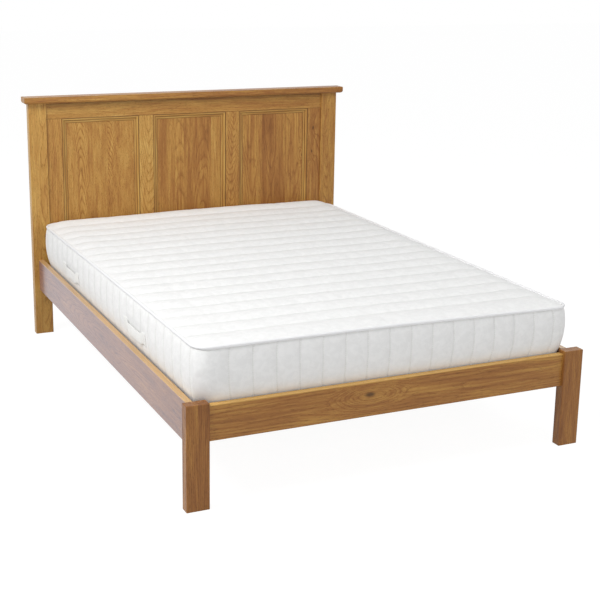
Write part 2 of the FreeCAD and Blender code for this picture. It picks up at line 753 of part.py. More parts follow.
def hexagon_nut(tag, x, y, z, axis):
    prism = DOC.addObject("Part::Prism", f"nut_prism_{tag}")
    prism.Polygon = 6
    prism.Placement = FreeCAD.Placement(FreeCAD.Vector(), TURN[axis])
    bind(prism, Circumradius="nut_r", Height="nut_t")
    place(prism, x, y, z)
    hole = rod(f"nut_hole_{tag}", "stud_r + fit", "nut_t", (x, y, z), axis)
    return less(f"nut_{tag}", prism, hole)


def make_cap_dowels():
    group("cap_dowels", [
        rod(f"cap_dowel_{number}", "dowel_r", "dowel_l",
            (x, "head_y + post_d / 2", "head_h - cap_dowel_down"), "Z")
        for number, x in enumerate(cap_dowel_places(), start=1)])


def make_base_screws():
    """Screws through the cleats into the side rails, and through the slats into the cleats."""
    cleat_screws, slat_screws = [], []
    for side_name, side in SIDES.items():
        sign = "" if side > 0 else "-"
        outwards = "X" if side > 0 else "-X"
        for number in range(int(size("cleat_screws"))):
            y = f"cleat_y + cleat_screw_end + {number} * cleat_screw_run / (cleat_screws - 1)"
            at = (f"{sign}cleat_x", y, "cleat_z + cleat_h / 2")
            cleat_screws.append(screw(f"cleat_screw_{side_name}_{number}", "cleat_screw_l", at, outwards))
        for number in range(int(size("slat_count"))):
            at = (f"{sign}(cleat_x + cleat_w / 2)", f"slat_y + {number} * slat_pitch + slat_w / 2",
                  "slat_top")
            slat_screws.append(screw(f"slat_screw_{side_name}_{number}", "slat_screw_l", at, "-Z"))
    group("cleat_screws_all", cleat_screws)
    group("slat_screws_all", slat_screws)


def make_hanger_screws():
    screws = []
    for end, face, into, out, back in (("foot", "bay_y + hanger_t", "-Y", "Y", "+"),
                                       ("head", "frame_y - hanger_t", "Y", "-Y", "-")):
        for side_name, sign in (("left", "-"), ("right", "")):
            for height in ("hanger_screw_low", "hanger_screw_high"):
                tag = f"{end}_{side_name}_{height}"
                at = (f"{sign}hanger_screw_x", face, f"hanger_z + {height}")
                shank = rod(f"shank_{tag}", "screw_r", "hanger_t + hanger_screw_l", at, into)
                head = rod(f"head_{tag}", "pan_head_r", "pan_head_h", at, out)
                screws.append(joined(f"screw_{tag}", shank, head))
    group("hanger_screws", screws)


def make_leg_bolts():
    group("centre_leg_bolts", [
        rod(f"centre_leg_bolt_{name}", "leg_bolt_r", "leg_bolt_up + leg_bolt_down",
            ("0", f"mattress_y {sign} centre_leg_span / 2", "beam_z - leg_bolt_down"), "Z")
        for name, sign in (("foot", "-"), ("head", "+"))])


# ---------------------------------------------------------------- mattress

def outline(out, head_out, z, swell=0.0, parts=(1, 1)):
    """The mattress's plan as a closed wire: four sides in equal parts, four round corners.

    The outline lies out beyond the plan at the sides and the foot, and head_out beyond it at the
    head. Each part of a side is a straight line, or an arc that swells out between two seams.
    """
    half_x = size("mattress_w") / 2 + out - swell
    half_y = (size("mattress_l") + out + head_out) / 2 - swell
    radius = size("corner_r")
    middle = FreeCAD.Vector(0, size("mattress_y") + (head_out - out) / 2, z)
    edges = []
    for quarter in range(4):
        turn = FreeCAD.Rotation(FreeCAD.Vector(0, 0, 1), 90 * quarter)
        along, out = (half_x, half_y) if quarter % 2 == 0 else (half_y, half_x)
        count = parts[quarter % 2]

        def point(x, y):
            return middle + turn.multVec(FreeCAD.Vector(x, y, 0))

        step = 2 * (along - radius) / count
        for number in range(count):
            start = radius - along + number * step
            first, last = point(start, -out), point(start + step, -out)
            if swell:
                edges.append(Part.Arc(first, point(start + step / 2, -out - swell), last))
            else:
                edges.append(Part.LineSegment(first, last))
        corner_x, corner_y = along - radius, radius - out
        reach = (radius + swell / 2) * math.sqrt(0.5)
        edges.append(Part.Arc(point(corner_x, -out), point(corner_x + reach, corner_y - reach),
                              point(along, corner_y)))
    return Part.Wire([edge.toShape() for edge in edges])


def prism(wire, height):
    return Part.Face(wire).extrude(FreeCAD.Vector(0, 0, height))


def top_section(x, share):
    """The quilted top cut across X: channels between seams over a flat base.

    share is the height of this section against the middle one: the top falls to its edges.
    """
    base = size("tape_z") - size("piping_notch")
    crest = size("piping_notch") + size("crown_h")
    seam = crest - size("crown_seam")
    edge = crest - size("crown_fall")
    half = size("mattress_l") / 2
    pitch = size("channel_pitch")
    count = int(size("channel_seams"))
    first = -pitch * (count - 1) / 2
    stations = [(-half, edge)] + [(first + number * pitch, seam) for number in range(count)]
    stations.append((half, edge))

    def point(y, height):
        return FreeCAD.Vector(x, size("mattress_y") + y, base + share * height)

    edges = []
    for (y0, h0), (y1, h1) in zip(stations, stations[1:]):
        # a channel's crest stands over its middle, nearer the seam in the two end channels
        lift = crest if h0 == h1 else crest - size("crown_seam") / 4
        edges.append(Part.Arc(point(y0, h0), point((y0 + y1) / 2, lift), point(y1, h1)))
    edges.append(Part.LineSegment(point(half, edge), point(half, 0)))
    edges.append(Part.LineSegment(point(half, 0), point(-half, 0)))
    edges.append(Part.LineSegment(point(-half, 0), point(-half, edge)))
    return Part.Wire([line.toShape() for line in edges])


def mattress_shape():
    """A border that bulges over the rails, quilted upright; a crowned top with channels."""
    notch = size("piping_notch")
    base_in = size("base_in")
    tape_out = size("tape_out")
    head_in = size("head_in")
    low = size("mattress_z")
    tape = size("tape_z")
    rails = size("rail_top")
    seam = size("border_seam")
    parts = (int(size("border_x")), int(size("border_y")))
    border = Part.makeLoft([
        outline(-base_in, -base_in, low + notch, parts=parts),
        outline(0, -head_in, rails + size("sill_up"), swell=seam / 2, parts=parts),
        outline(size("bulge_out"), 0, rails + size("bulge_up"), swell=seam, parts=parts),
        outline(tape_out, -head_in, tape - notch, parts=parts),
    ], True, False)
    base = prism(outline(-base_in - notch, -base_in - notch, low), notch)

    crest = notch + size("crown_h")
    edge_drop = size("crown_fall") / crest
    steps = int(size("crown_steps"))
    falls = [step / steps for step in range(steps, -1, -1)]
    inner = size("mattress_w") / 2 - size("crown_edge")
    left = [(-inner - fall * size("crown_edge"), 1 - edge_drop * fall ** 2) for fall in falls]
    right = [(-x, share) for x, share in reversed(left)]
    quilt = Part.makeLoft([top_section(x, share) for x, share in left + right], True, True)
    plan = prism(outline(tape_out - notch, -head_in - notch, tape - notch), crest + notch)
    return border.fuse([base, quilt.common(plan)])


def make_mattress():
    body = mattress_shape()
    mattress = DOC.addObject("Part::Feature", "mattress")
    mattress.Shape = body.Solids[0]
    node(mattress, "mattress")
    make_piping()
    make_handles(mattress.Shape)


def make_piping():
    """A round tape edge in the notch along the top and bottom of the border."""
    notch = size("piping_notch")
    radius = size("piping_r")
    sunk = radius - size("piping_proud")
    for name, z, out, head_out in (
            ("top", size("tape_z") - notch / 2, size("tape_out"), -size("head_in")),
            ("bottom", size("mattress_z") + notch / 2, -size("base_in"), -size("base_in"))):
        path = outline(out - sunk, head_out - sunk, z)
        start = path.Edges[0].Vertexes[0].Point
        circle = Part.Circle(start, FreeCAD.Vector(1, 0, 0), radius)
        cord = path.makePipeShell([Part.Wire(circle.toShape())], True, True)
        piping = DOC.addObject("Part::Feature", f"mattress_piping_{name}")
        piping.Shape = cord if cord.ShapeType == "Solid" else Part.makeSolid(cord)
        node(piping, f"mattress_piping_{name}")


def make_handles(mattress):
    """Cloth handles on both sides: straps that bow out from the border they are sewn to."""
    half = size("mattress_w") / 2
    end_x = half + size("bulge_out") + size("handle_proud")
    bow_x = end_x + size("handle_bow")
    inside = half - size("base_in")
    length = size("handle_l")
    for side_name, side in SIDES.items():
        for end in ("foot", "head"):
            y = size(f"handle_{end}_y")
            z = size("handle_z") - size("handle_w") / 2
            first = FreeCAD.Vector(side * end_x, y - length / 2, z)
            last = FreeCAD.Vector(side * end_x, y + length / 2, z)
            bow = Part.Arc(first, FreeCAD.Vector(side * bow_x, y, z), last)
            behind = [FreeCAD.Vector(side * inside, point.y, z) for point in (last, first)]
            wire = Part.Wire([
                bow.toShape(),
                Part.LineSegment(last, behind[0]).toShape(),
                Part.LineSegment(behind[0], behind[1]).toShape(),
                Part.LineSegment(behind[1], first).toShape(),
            ])
            strap = prism(wire, size("handle_w")).cut(mattress)
            label = f"mattress_handle_{side_name}_{end}"
            handle = DOC.addObject("Part::Feature", label)
            handle.Shape = max(strap.Solids, key=lambda solid: solid.Volume)
            node(handle, label)


# ---------------------------------------------------------------- the whole bed

def check_document():
    """Stop if any object failed, a cut removed nothing, or a sub-part is not a valid shape."""
    for obj in DOC.Objects:
        bad = [state for state in obj.State if state in ("Invalid", "Error")]
        if bad:
            raise RuntimeError(f"{obj.Label}: {bad}")
        if "Subtractive" in obj.TypeId and obj.Shape.Volume > obj.BaseFeature.Shape.Volume - TOUCH:
            raise RuntimeError(f"{obj.Label} cuts nothing")
    for obj in NODES:
        if obj.Shape.isNull() or not obj.Shape.isValid() or not obj.Shape.Solids:
            raise RuntimeError(f"{obj.Label} has no valid solid")


def write_parts():
    os.makedirs("parts", exist_ok=True)
    for obj in NODES:
        obj.Shape.exportStep(f"parts/{obj.Label}.step")
        volume = obj.Shape.Volume / 1e6
        print(f"{obj.Label:28s} solids {len(obj.Shape.Solids):3d}  volume {volume:10.4f} dm3")


fill_sheet()
make_posts()
make_cap()
make_head_rails()
make_uprights()
make_panels()
make_mouldings()
make_foot_legs()
make_foot_rail()
make_side_rails()
make_cleats()
make_beam()
make_hangers()
make_slats()
make_rail_fittings()
make_cap_dowels()
make_base_screws()
make_hanger_screws()
make_leg_bolts()
make_mattress()
DOC.recompute()
check_document()
write_parts()
print("nodes", len(NODES))
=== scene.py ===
# %% [markdown]
# # A panel bed in oak
# The bed is a headboard of three framed panels, a low foot end, two side rails, a slatted base
# and a quilted mattress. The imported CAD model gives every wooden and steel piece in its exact
# shape and place, so this lesson only has to give those pieces their surfaces, and to make the
# soft mattress new. Everything is in metres, and the frame loads first because every later step
# measures from it.

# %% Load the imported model
import math
import time

import bpy
import numpy as np
from mathutils import Euler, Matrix, Quaternion, Vector, noise


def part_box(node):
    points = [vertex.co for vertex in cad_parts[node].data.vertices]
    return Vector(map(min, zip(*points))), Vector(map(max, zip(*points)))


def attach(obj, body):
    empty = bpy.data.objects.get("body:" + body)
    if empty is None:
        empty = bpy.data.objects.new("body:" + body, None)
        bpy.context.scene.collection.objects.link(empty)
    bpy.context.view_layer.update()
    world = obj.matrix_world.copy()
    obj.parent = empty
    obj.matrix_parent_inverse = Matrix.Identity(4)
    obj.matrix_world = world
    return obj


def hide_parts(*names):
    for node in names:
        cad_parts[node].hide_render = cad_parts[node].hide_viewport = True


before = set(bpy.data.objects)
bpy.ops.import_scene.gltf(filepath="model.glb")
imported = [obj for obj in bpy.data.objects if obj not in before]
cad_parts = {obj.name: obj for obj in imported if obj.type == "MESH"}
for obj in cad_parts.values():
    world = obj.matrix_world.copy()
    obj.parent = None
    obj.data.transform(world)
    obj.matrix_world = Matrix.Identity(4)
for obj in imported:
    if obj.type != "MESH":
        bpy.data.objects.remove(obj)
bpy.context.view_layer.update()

scene = bpy.context.scene
scene.view_settings.view_transform = "Standard"
bpy.ops.object.select_all(action="DESELECT")
print("pieces in the model:", len(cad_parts))

# %% [markdown]
# ## The camera
# The picture was taken from the left of the foot end, a little above the headboard. The camera's
# place was worked out from corners whose true positions are known, such as the feet of the legs.
# A long lens from four metres away keeps the bed's lines nearly parallel. The horizon tips by
# less than a degree, so a small roll is added about the camera's own line of sight.

# %% Camera
camera = bpy.data.objects.new("camera", bpy.data.cameras.new("camera"))
scene.collection.objects.link(camera)
camera.location = (-1.8956, -4.2685, 1.6767)
aim = Euler((math.radians(75.64), 0, math.radians(-24.85))).to_quaternion()
roll = Quaternion((0, 0, 1), math.radians(0.90))
camera.rotation_mode = "QUATERNION"
camera.rotation_quaternion = aim @ roll
camera.data.sensor_width = 36
camera.data.lens = 74.63
camera.data.shift_x = 0.0093
camera.data.shift_y = -0.0609
scene.camera = camera
print("camera stands", round((camera.location - Vector((0, 0, 0.5))).length, 2), "m from the bed")

# %% [markdown]
# ## Helpers for materials
# A material is a small network of nodes. One helper adds a node, sets its own settings, and fills
# its sockets, given in order or by name, each with a plain value or with a link: from another
# node's socket, or from its first output where the node itself is given. "Math ADD" is the kind
# of a node and its operation. A second helper turns the hex colours that people pick on a
# screen, which are sRGB, into the linear numbers the renderer works with.


# %% Colour and node helpers
def linear(hex_colour):
    """An sRGB hex colour such as "c89b5e" as a linear colour with full alpha."""
    shares = [int(hex_colour[i:i + 2], 16) / 255 for i in (0, 2, 4)]
    return [s / 12.92 if s <= 0.04045 else ((s + 0.055) / 1.055) ** 2.4 for s in shares] + [1.0]


def set_all(thing, **settings):
    """Set several of a thing's settings by name."""
    for name, value in settings.items():
        setattr(thing, name, value)


def add(tree, kind, sockets=(), stops=(), **settings):
    """Add a node, such as "Math ADD", with its settings, values or links, and a ramp's stops."""
    kind, *operation = kind.split()
    node = tree.nodes.new("ShaderNode" + kind)
    set_all(node, **settings)
    if operation:
        node.operation = operation[0]
    for name, value in sockets.items() if isinstance(sockets, dict) else enumerate(sockets):
        if isinstance(value, bpy.types.Node):
            value = value.outputs[0]
        if isinstance(value, bpy.types.NodeSocket):
            tree.links.new(value, node.inputs[name])
        else:
            node.inputs[name].default_value = value
    for number, (position, colour) in enumerate(stops):
        ramp = node.color_ramp.elements
        stop = ramp[number] if number < 2 else ramp.new(position)
        stop.position = position
        stop.color = linear(colour) if isinstance(colour, str) else colour
    return node


def new_material(name):
    """An empty node material and its tree."""
    material = bpy.data.materials.new(name)
    material.use_nodes = True
    material.node_tree.nodes.clear()
    return material, material.node_tree


def grey(value):
    return [value, value, value, 1.0]


print("oak as written and in linear light:", "b98b4f", [round(v, 3) for v in linear("b98b4f")])

# %% [markdown]
# ## Floor and background
# The bed stands in a white studio. A floor that is lit until it is white would throw too much
# light on the bed, so the floor and the world are made white only for rays that come straight
# from the camera, or by way of a shiny or clear surface, which must show the same studio. For
# all other rays they are a plain light grey. The floor keeps a share of its real shading, so the
# soft shadow under the bed stays.


# %% World and floor
def seen_plainly(tree):
    """1 for rays from the camera, also by way of a shiny or clear surface, and 0 for light."""
    path = add(tree, "LightPath")
    seen = path.outputs["Is Camera Ray"]
    for ray in ("Is Glossy Ray", "Is Transmission Ray"):
        seen = add(tree, "Math MAXIMUM", [seen, path.outputs[ray]])
    return seen


world = bpy.data.worlds.new("white studio")
world.use_nodes = True
world.node_tree.nodes.clear()
scene.world = world
sky = world.node_tree
AMBIENT = 0.36
soft = add(sky, "Background", {"Color": linear("fdfeff"), "Strength": AMBIENT})
white = add(sky, "Background", {"Color": grey(1.0), "Strength": 1.0})
mixed = add(sky, "MixShader", [seen_plainly(sky), soft, white])
add(sky, "OutputWorld", {"Surface": mixed})

FLOOR_WHITE = 0.80              # share of plain white in the floor that the camera sees
FLOOR_LIFT = 0.14               # white added over it, so that the floor meets the background
floor_finish, tree = new_material("studio floor, matt white")
seen = seen_plainly(tree)
paint = add(tree, "BsdfDiffuse", {"Color": linear("e0e0e0")})
glow = add(tree, "Emission", {"Color": grey(1.0), "Strength": 1.0})
share = add(tree, "Math MULTIPLY", [seen, FLOOR_WHITE])
mixed = add(tree, "MixShader", [share, paint, glow])
extra = add(tree, "Math MULTIPLY", [seen, FLOOR_LIFT])
lift = add(tree, "Emission", {"Color": grey(1.0), "Strength": extra})
both = add(tree, "AddShader", [mixed, lift])
add(tree, "OutputMaterial", {"Surface": both})

bpy.ops.mesh.primitive_plane_add(size=40, location=(0, 0, -0.0005))
floor = bpy.context.object
floor.name = "studio_floor"
floor.data.materials.append(floor_finish)
print("ambient light:", AMBIENT)

# %% [markdown]
# ## Lamps
# Most of the light comes from one large softbox, high up on the left and a little in front of the
# bed's middle. That one place explains what the picture shows: the mattress is brightest near the
# foot and greyer towards the headboard, every slope of the quilting that faces the camera is
# brighter than the one behind it, and the headboard is lighter on its left. A weak lamp on the
# right keeps the right of the mattress white. A broad, weaker one in front lights the faces that
# the softbox only grazes: the foot end and the front border of the mattress.


# %% Lamps
def lamp(name, place, target, width, height, power):
    """A rectangular lamp at a place, turned to a target."""
    data = bpy.data.lights.new(name, "AREA")
    set_all(data, shape="RECTANGLE", size=width, size_y=height, energy=power)
    lamp_object = bpy.data.objects.new(name, data)
    scene.collection.objects.link(lamp_object)
    facing = Vector(target) - Vector(place)
    set_all(lamp_object, location=place, rotation_mode="QUATERNION",
            rotation_quaternion=facing.to_track_quat("-Z", "Y"))


lamp("main softbox", (-2.8, -0.85, 3.2), (0, -0.1, 0.4), 1.8, 1.8, 103)
lamp("right softbox", (2.0, -0.9, 3.0), (0.2, -0.2, 0.4), 1.8, 1.8, 18)
lamp("front fill", (0.7, -4.6, 2.0), (0, 0, 0.5), 2.6, 1.6, 42)

# %% [markdown]
# ## Wood from a log
# A board's figure comes from where it lay in the log. Growth rings are cylinders about the pith.
# A face sawn close to the pith cuts them in tall arches, and one further to the side cuts
# them in straight lines. The pattern is built the same way: every point of a board gets a place
# in its log, X across the face, Y into the board and Z along the grain, with the pith at
# X = Y = 0. A slow noise bends the log, rings are drawn round its axis, and stretched noises add
# streaks, patches and the short dark pores of oak. One group makes this for every wood here.

# %% Node group: figure of a sawn log
log_figure = bpy.data.node_groups.new("figure of a sawn log", "ShaderNodeTree")
log_figure.interface.new_socket("Vector", in_out="INPUT", socket_type="NodeSocketVector")
log_figure.interface.new_socket("Ring", in_out="INPUT", socket_type="NodeSocketFloat")
for name in ("Rings", "Streaks", "Pores", "Patches"):
    log_figure.interface.new_socket(name, in_out="OUTPUT", socket_type="NodeSocketFloat")
given = log_figure.nodes.new("NodeGroupInput")
result = log_figure.nodes.new("NodeGroupOutput")


def stretched_noise(place, stretch, detail, roughness, distortion=0.0):
    """A noise whose marks are 1 / stretch metres across, into the board and along the grain."""
    place = add(log_figure, "VectorMath MULTIPLY", [place, stretch])
    return add(log_figure, "TexNoise", {"Vector": place, "Scale": 1.0, "Detail": detail,
                                        "Roughness": roughness, "Distortion": distortion})


# the log bends by up to a centimetre, over a hand's width across and half a metre along
bend = stretched_noise(given.outputs["Vector"], (9.0, 9.0, 2.2), 2.0, 0.5)
bend = add(log_figure, "VectorMath SUBTRACT", [bend.outputs["Color"], (0.5, 0.5, 0.5)])
bend = add(log_figure, "VectorMath MULTIPLY", [bend, (0.038, 0.038, 0.0)])
bent = add(log_figure, "VectorMath ADD", [given.outputs["Vector"], bend])

# rings: the wave texture repeats every 0.314 / scale metres, and Ring is that scale
squeezed = add(log_figure, "VectorMath MULTIPLY", [bent, (1.0, 1.0, 0.12)])
rings = add(log_figure, "TexWave", {
    "Vector": squeezed, "Scale": given.outputs["Ring"], "Distortion": 1.6, "Detail": 2.0,
    "Detail Scale": 1.2, "Detail Roughness": 0.6},
    wave_type="RINGS", rings_direction="Z", wave_profile="SAW")
# each ring starts with a sharp dark line of open pores and grows paler and denser
profile = add(log_figure, "ValToRGB", {"Fac": rings.outputs["Fac"]},
              stops=[(0.0, grey(0.0)), (1.0, grey(0.55)), (0.14, grey(0.30)),
                     (0.40, grey(0.85)), (0.8, grey(1.0))])
log_figure.links.new(profile.outputs["Color"], result.inputs["Rings"])

# streaks 8 mm wide and 25 cm long, and pores 1 mm wide, over twice their real width to show
streaks = stretched_noise(bent, (120.0, 120.0, 4.0), 3.0, 0.55)
log_figure.links.new(streaks.outputs["Fac"], result.inputs["Streaks"])
pores = stretched_noise(bent, (850.0, 850.0, 42.0), 1.0, 0.5)
early = add(log_figure, "MapRange", {"Value": rings.outputs["Fac"], "From Min": 0.0,
                                     "From Max": 0.45, "To Min": 0.10, "To Max": -0.02})
crowded = add(log_figure, "Math ADD", [pores.outputs["Fac"], early])
holes = add(log_figure, "MapRange", {"Value": crowded, "From Min": 0.58, "From Max": 0.66})
log_figure.links.new(holes.outputs[0], result.inputs["Pores"])

# slow patches of browner and more golden wood, 4 cm wide and 40 cm long
patches = stretched_noise(given.outputs["Vector"], (26.0, 26.0, 2.6), 3.0, 0.6, 0.3)
log_figure.links.new(patches.outputs["Fac"], result.inputs["Patches"])
print("log figure nodes:", len(log_figure.nodes))

# %% [markdown]
# ## A board's place in its log
# Each board is cut from its own stretch of log. A wide board is glued up from staves, and each
# stave has its own pith, tone and height in the log. A ramp with hard steps across the board
# holds these three numbers in its red, green and blue, so one texture serves all the staves.
# Round a knot the grain swerves: there the place in the log is pushed into the depth.

# %% Places in the log
AXES = {"Z": "XYZ", "X": "ZYX", "Y": "ZXY"}     # across the face, into the board, along the grain
LOG_LENGTH = 10.0
# a knot is 1 / 0.42 times as long along the grain, and pushes it aside by half the knot's reach
KNOT_SLIM, SWIRL = 0.42, 0.5


def board_place(tree, name, along, pith=0.0, depth=0.045, lean=0.05, start=0.0, staves=()):
    """Places in the log for a board whose grain runs along an axis, and its staves' tone."""
    low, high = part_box(name)
    middle = dict(zip("XYZ", (low + high) / 2))
    across, into, grain = AXES[along]
    here = add(tree, "TexCoord")
    parts = add(tree, "SeparateXYZ", {"Vector": here.outputs["Object"]})
    turned = add(tree, "CombineXYZ", {
        "X": parts.outputs[across], "Y": parts.outputs[into], "Z": parts.outputs[grain]})
    axis = (middle[across] + pith, middle[into] + depth, middle[grain] + start)
    place = add(tree, "VectorMath SUBTRACT", [turned, axis])
    tone = None
    if staves:
        n = "XYZ".index(across)
        share = add(tree, "MapRange", [parts.outputs[across], low[n], high[n]])
        stops = [(begin, [0.5 + shift, 0.5 + tint / 2, up / LOG_LENGTH, 1.0])
                 for begin, shift, tint, up in staves]
        table = add(tree, "ValToRGB", {"Fac": share}, stops=stops)
        table.color_ramp.interpolation = "CONSTANT"
        tone = add(tree, "SeparateColor", [table.outputs["Color"]])
        moved = add(tree, "CombineXYZ", {"X": tone.outputs[0], "Z": tone.outputs[2]})
        moved = add(tree, "VectorMath MULTIPLY_ADD",
                    [moved, (1.0, 0.0, LOG_LENGTH), (-0.5, 0.0, 0.0)])
        place = add(tree, "VectorMath SUBTRACT", [place, moved])
    # the board wasn't sawn quite along the pith, so it leans away from it
    split = add(tree, "SeparateXYZ", {"Vector": place})
    offset = add(tree, "Math SUBTRACT", [parts.outputs[grain], middle[grain]])
    deeper = add(tree, "Math MULTIPLY_ADD", [offset, lean, split.outputs["Y"]])
    place = add(tree, "CombineXYZ",
                {"X": split.outputs["X"], "Y": deeper, "Z": split.outputs["Z"]})
    return here, parts, place, tone


def swerve_round_knots(tree, here, place, along, knots):
    """Push the place in the log aside near each knot, and mark the knot's dark core."""
    core = 0.0
    slim = [KNOT_SLIM if letter == along else 1.0 for letter in "XYZ"]
    for centre, reach in knots:
        away = add(tree, "VectorMath SUBTRACT", [here.outputs["Object"], centre])
        away = add(tree, "VectorMath MULTIPLY", [away, slim])
        away = add(tree, "VectorMath LENGTH", [away])
        swirl = add(tree, "MapRange", {0: away.outputs["Value"], 2: reach, 3: reach * SWIRL,
                                       4: 0.0}, interpolation_type="SMOOTHSTEP")
        push = add(tree, "CombineXYZ", {"Y": swirl})
        place = add(tree, "VectorMath ADD", [place, push])
        eye = add(tree, "MapRange", [away.outputs["Value"], reach * 0.04, reach * 0.16, 0.8, 0.0],
                  interpolation_type="SMOOTHSTEP")
        core = add(tree, "Math MAXIMUM", [core, eye])
    return place, core


# %% [markdown]
# ## Lacquered oak
# Oak is brown and open-pored, and here it is stained to a golden honey and finished with a satin
# lacquer. The lacquer is the shader's coat: over it, a rail that is seen at a low angle looks
# washed with the white of the studio. The colour runs along one ramp from the dark pore lines to
# the pale late wood. Stain and a painted shade darken each board of the frame in its last three
# millimetres at the joints, and a painted shade, with some dust, darkens the wood under the cap.
# A painted highlight makes the top of a rail paler, and a faint bluish sheen, a painted reflection
# of the studio, lies on the side rails.

# %% Oak for one board
OAK = [(0.0, "5c3714"), (1.0, "e0b870"), (0.22, "875529"), (0.42, "a16d36"), (0.60, "b98945"),
       (0.78, "c99f56")]
# colours: stain with painted shade, pores, knots, a painted highlight for the tops of rails, and
# the tint of a painted reflection on the side rails
STAIN_AND_SHADE, PORE, KNOT, TOP_HIGHLIGHT, REFLECTION_TINT = "4a2c12", "5d3a18", "3f2614", "e8bb6a", "c3c6ff"
# the dark line in a joint is stain with a painted shade of the gap between two boards
JOINT = 0.0028                  # width of the stained line in a joint
JOINT_SHARE, PORE_SHARE = 0.9, 0.46
# the middle of the ramp, and how far patches, streaks and staves carry the colour along it
MID, PATCHY, STREAKY, TONE = 0.585, 0.50, 0.52, 0.40


def towards(tree, colour, factor, code):
    """Mix a colour towards a hex colour by a factor socket."""
    return add(tree, "Mix", {0: factor, 6: colour, 7: linear(code)}, data_type="RGBA").outputs[2]


def off_middle(tree, parts, letter, middle):
    """How far a point lies from a middle along one axis."""
    off = add(tree, "Math SUBTRACT", [parts.outputs[letter], middle])
    return add(tree, "Math ABSOLUTE", [off])


def edge_line(tree, parts, name, letters, reach):
    """1 at a board's own edges along the given axes, falling to 0 at a distance from them."""
    low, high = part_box(name)
    nearest = 0.0
    for letter in letters:
        n = "XYZ".index(letter)
        half, middle = (high[n] - low[n]) / 2, (high[n] + low[n]) / 2
        off = off_middle(tree, parts, letter, middle)
        line = add(tree, "MapRange", [off, half - reach, half])
        nearest = add(tree, "Math MAXIMUM", [nearest, line])
    return nearest


def oak_skin(tree, figure, colour, gloss, bluish_sheen=0.0):
    """The lacquered surface: satin over dense wood, duller where it sinks into the pores."""
    dull = add(tree, "MapRange", {0: figure.outputs["Pores"], 3: 0.42, 4: 0.60})
    height = add(tree, "Math MULTIPLY_ADD",
                 [figure.outputs["Pores"], -1.0, figure.outputs["Rings"]])
    relief = add(tree, "Bump", {"Height": height, "Distance": 0.0003, "Strength": 0.5})
    # the sheen tint gives the side rails a bluish sheen, a painted reflection of the white studio
    skin = add(tree, "BsdfPrincipled", {
        "Base Color": colour, "Roughness": dull, "Normal": relief, "Specular IOR Level": 0.15,
        "Coat Weight": gloss, "Coat Roughness": 0.22, "Coat IOR": 1.5, "Sheen Weight": bluish_sheen,
        "Sheen Roughness": 0.35, "Sheen Tint": linear(REFLECTION_TINT)})
    add(tree, "OutputMaterial", {"Surface": skin})


def lacquered_oak(name, along, shade=0.0, ring=52.0, bold=0.14, painted_falloff=0.0, knots=(), joints="",
                  gloss=0.3, bluish_sheen=0.0, painted_shade_under_cap=False, lit_top=False, **place):
    """The material of one oak board."""
    material, tree = new_material("oak, honey lacquer, " + name)
    low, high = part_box(name)
    here, parts, spot_in_log, tone = board_place(tree, name, along, **place)
    spot_in_log, core = swerve_round_knots(tree, here, spot_in_log, along, knots)
    figure = add(tree, "Group", {"Vector": spot_in_log, "Ring": ring}, node_tree=log_figure)
    # the colour's place on the ramp: rings, streaks and slow patches together
    level = MID - bold - (PATCHY + STREAKY) / 2 + shade
    for output, weight in (("Rings", bold), ("Streaks", STREAKY), ("Patches", PATCHY)):
        level = add(tree, "Math MULTIPLY_ADD", [figure.outputs[output], weight, level])
    if tone:
        level = add(tree, "Math MULTIPLY_ADD", [tone.outputs[1], TONE, level])
        level = add(tree, "Math ADD", [level, -TONE / 2])
    # painted shade: the colour darkens from the left end of the board to the right, as the light
    # falls off away from the softbox
    if painted_falloff:
        falloff_shade = add(tree, "MapRange", {0: parts.outputs["X"], 1: low.x, 2: high.x, 4: painted_falloff})
        level = add(tree, "Math ADD", [level, falloff_shade])
    colour = add(tree, "ValToRGB", {"Fac": level}, stops=OAK)
    open_pores = add(tree, "Math MULTIPLY", [figure.outputs["Pores"], PORE_SHARE])
    colour = towards(tree, colour, open_pores, PORE)
    if core:
        colour = towards(tree, colour, core, KNOT)
    # stain and painted shade: a board of the frame darkens over its last three millimetres at a
    # joint
    if joints:
        line = edge_line(tree, parts, name, joints, JOINT)
        line = add(tree, "Math MULTIPLY", [line, JOINT_SHARE])
        colour = towards(tree, colour, line, STAIN_AND_SHADE)
    if painted_shade_under_cap:
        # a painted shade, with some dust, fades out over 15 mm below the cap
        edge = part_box("headboard_cap")[0].z - 0.001
        shaded = add(tree, "MapRange", {0: parts.outputs["Z"], 1: edge - 0.015, 2: edge, 4: 0.6})
        colour = towards(tree, colour, shaded, STAIN_AND_SHADE)
    if lit_top:
        # a painted highlight: the top of a rail and its upper edge are made paler, where light
        # from above falls
        edge = high.z - 0.001
        top_highlight = add(tree, "MapRange", {0: parts.outputs["Z"], 1: edge - 0.004, 2: edge, 4: 0.65})
        colour = towards(tree, colour, top_highlight, TOP_HIGHLIGHT)
    oak_skin(tree, figure, colour, gloss, bluish_sheen)
    return material


def finish(name, material):
    """Give a piece of the frame its material in place of the plain one."""
    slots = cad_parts[name].data.materials
    slots.clear()
    slots.append(material)


# %% [markdown]
# ## The boards
# Each row names a board, which way its grain runs, where the pith lies beside and behind its
# middle, how far it leans, and which stretch of log it is from. Staves are listed as the share
# of the width where each begins, its pith's shift, its tone from -1 to 1 and its stretch of log.
# A negative lean gives arches that point up, and a positive one arches that point down.

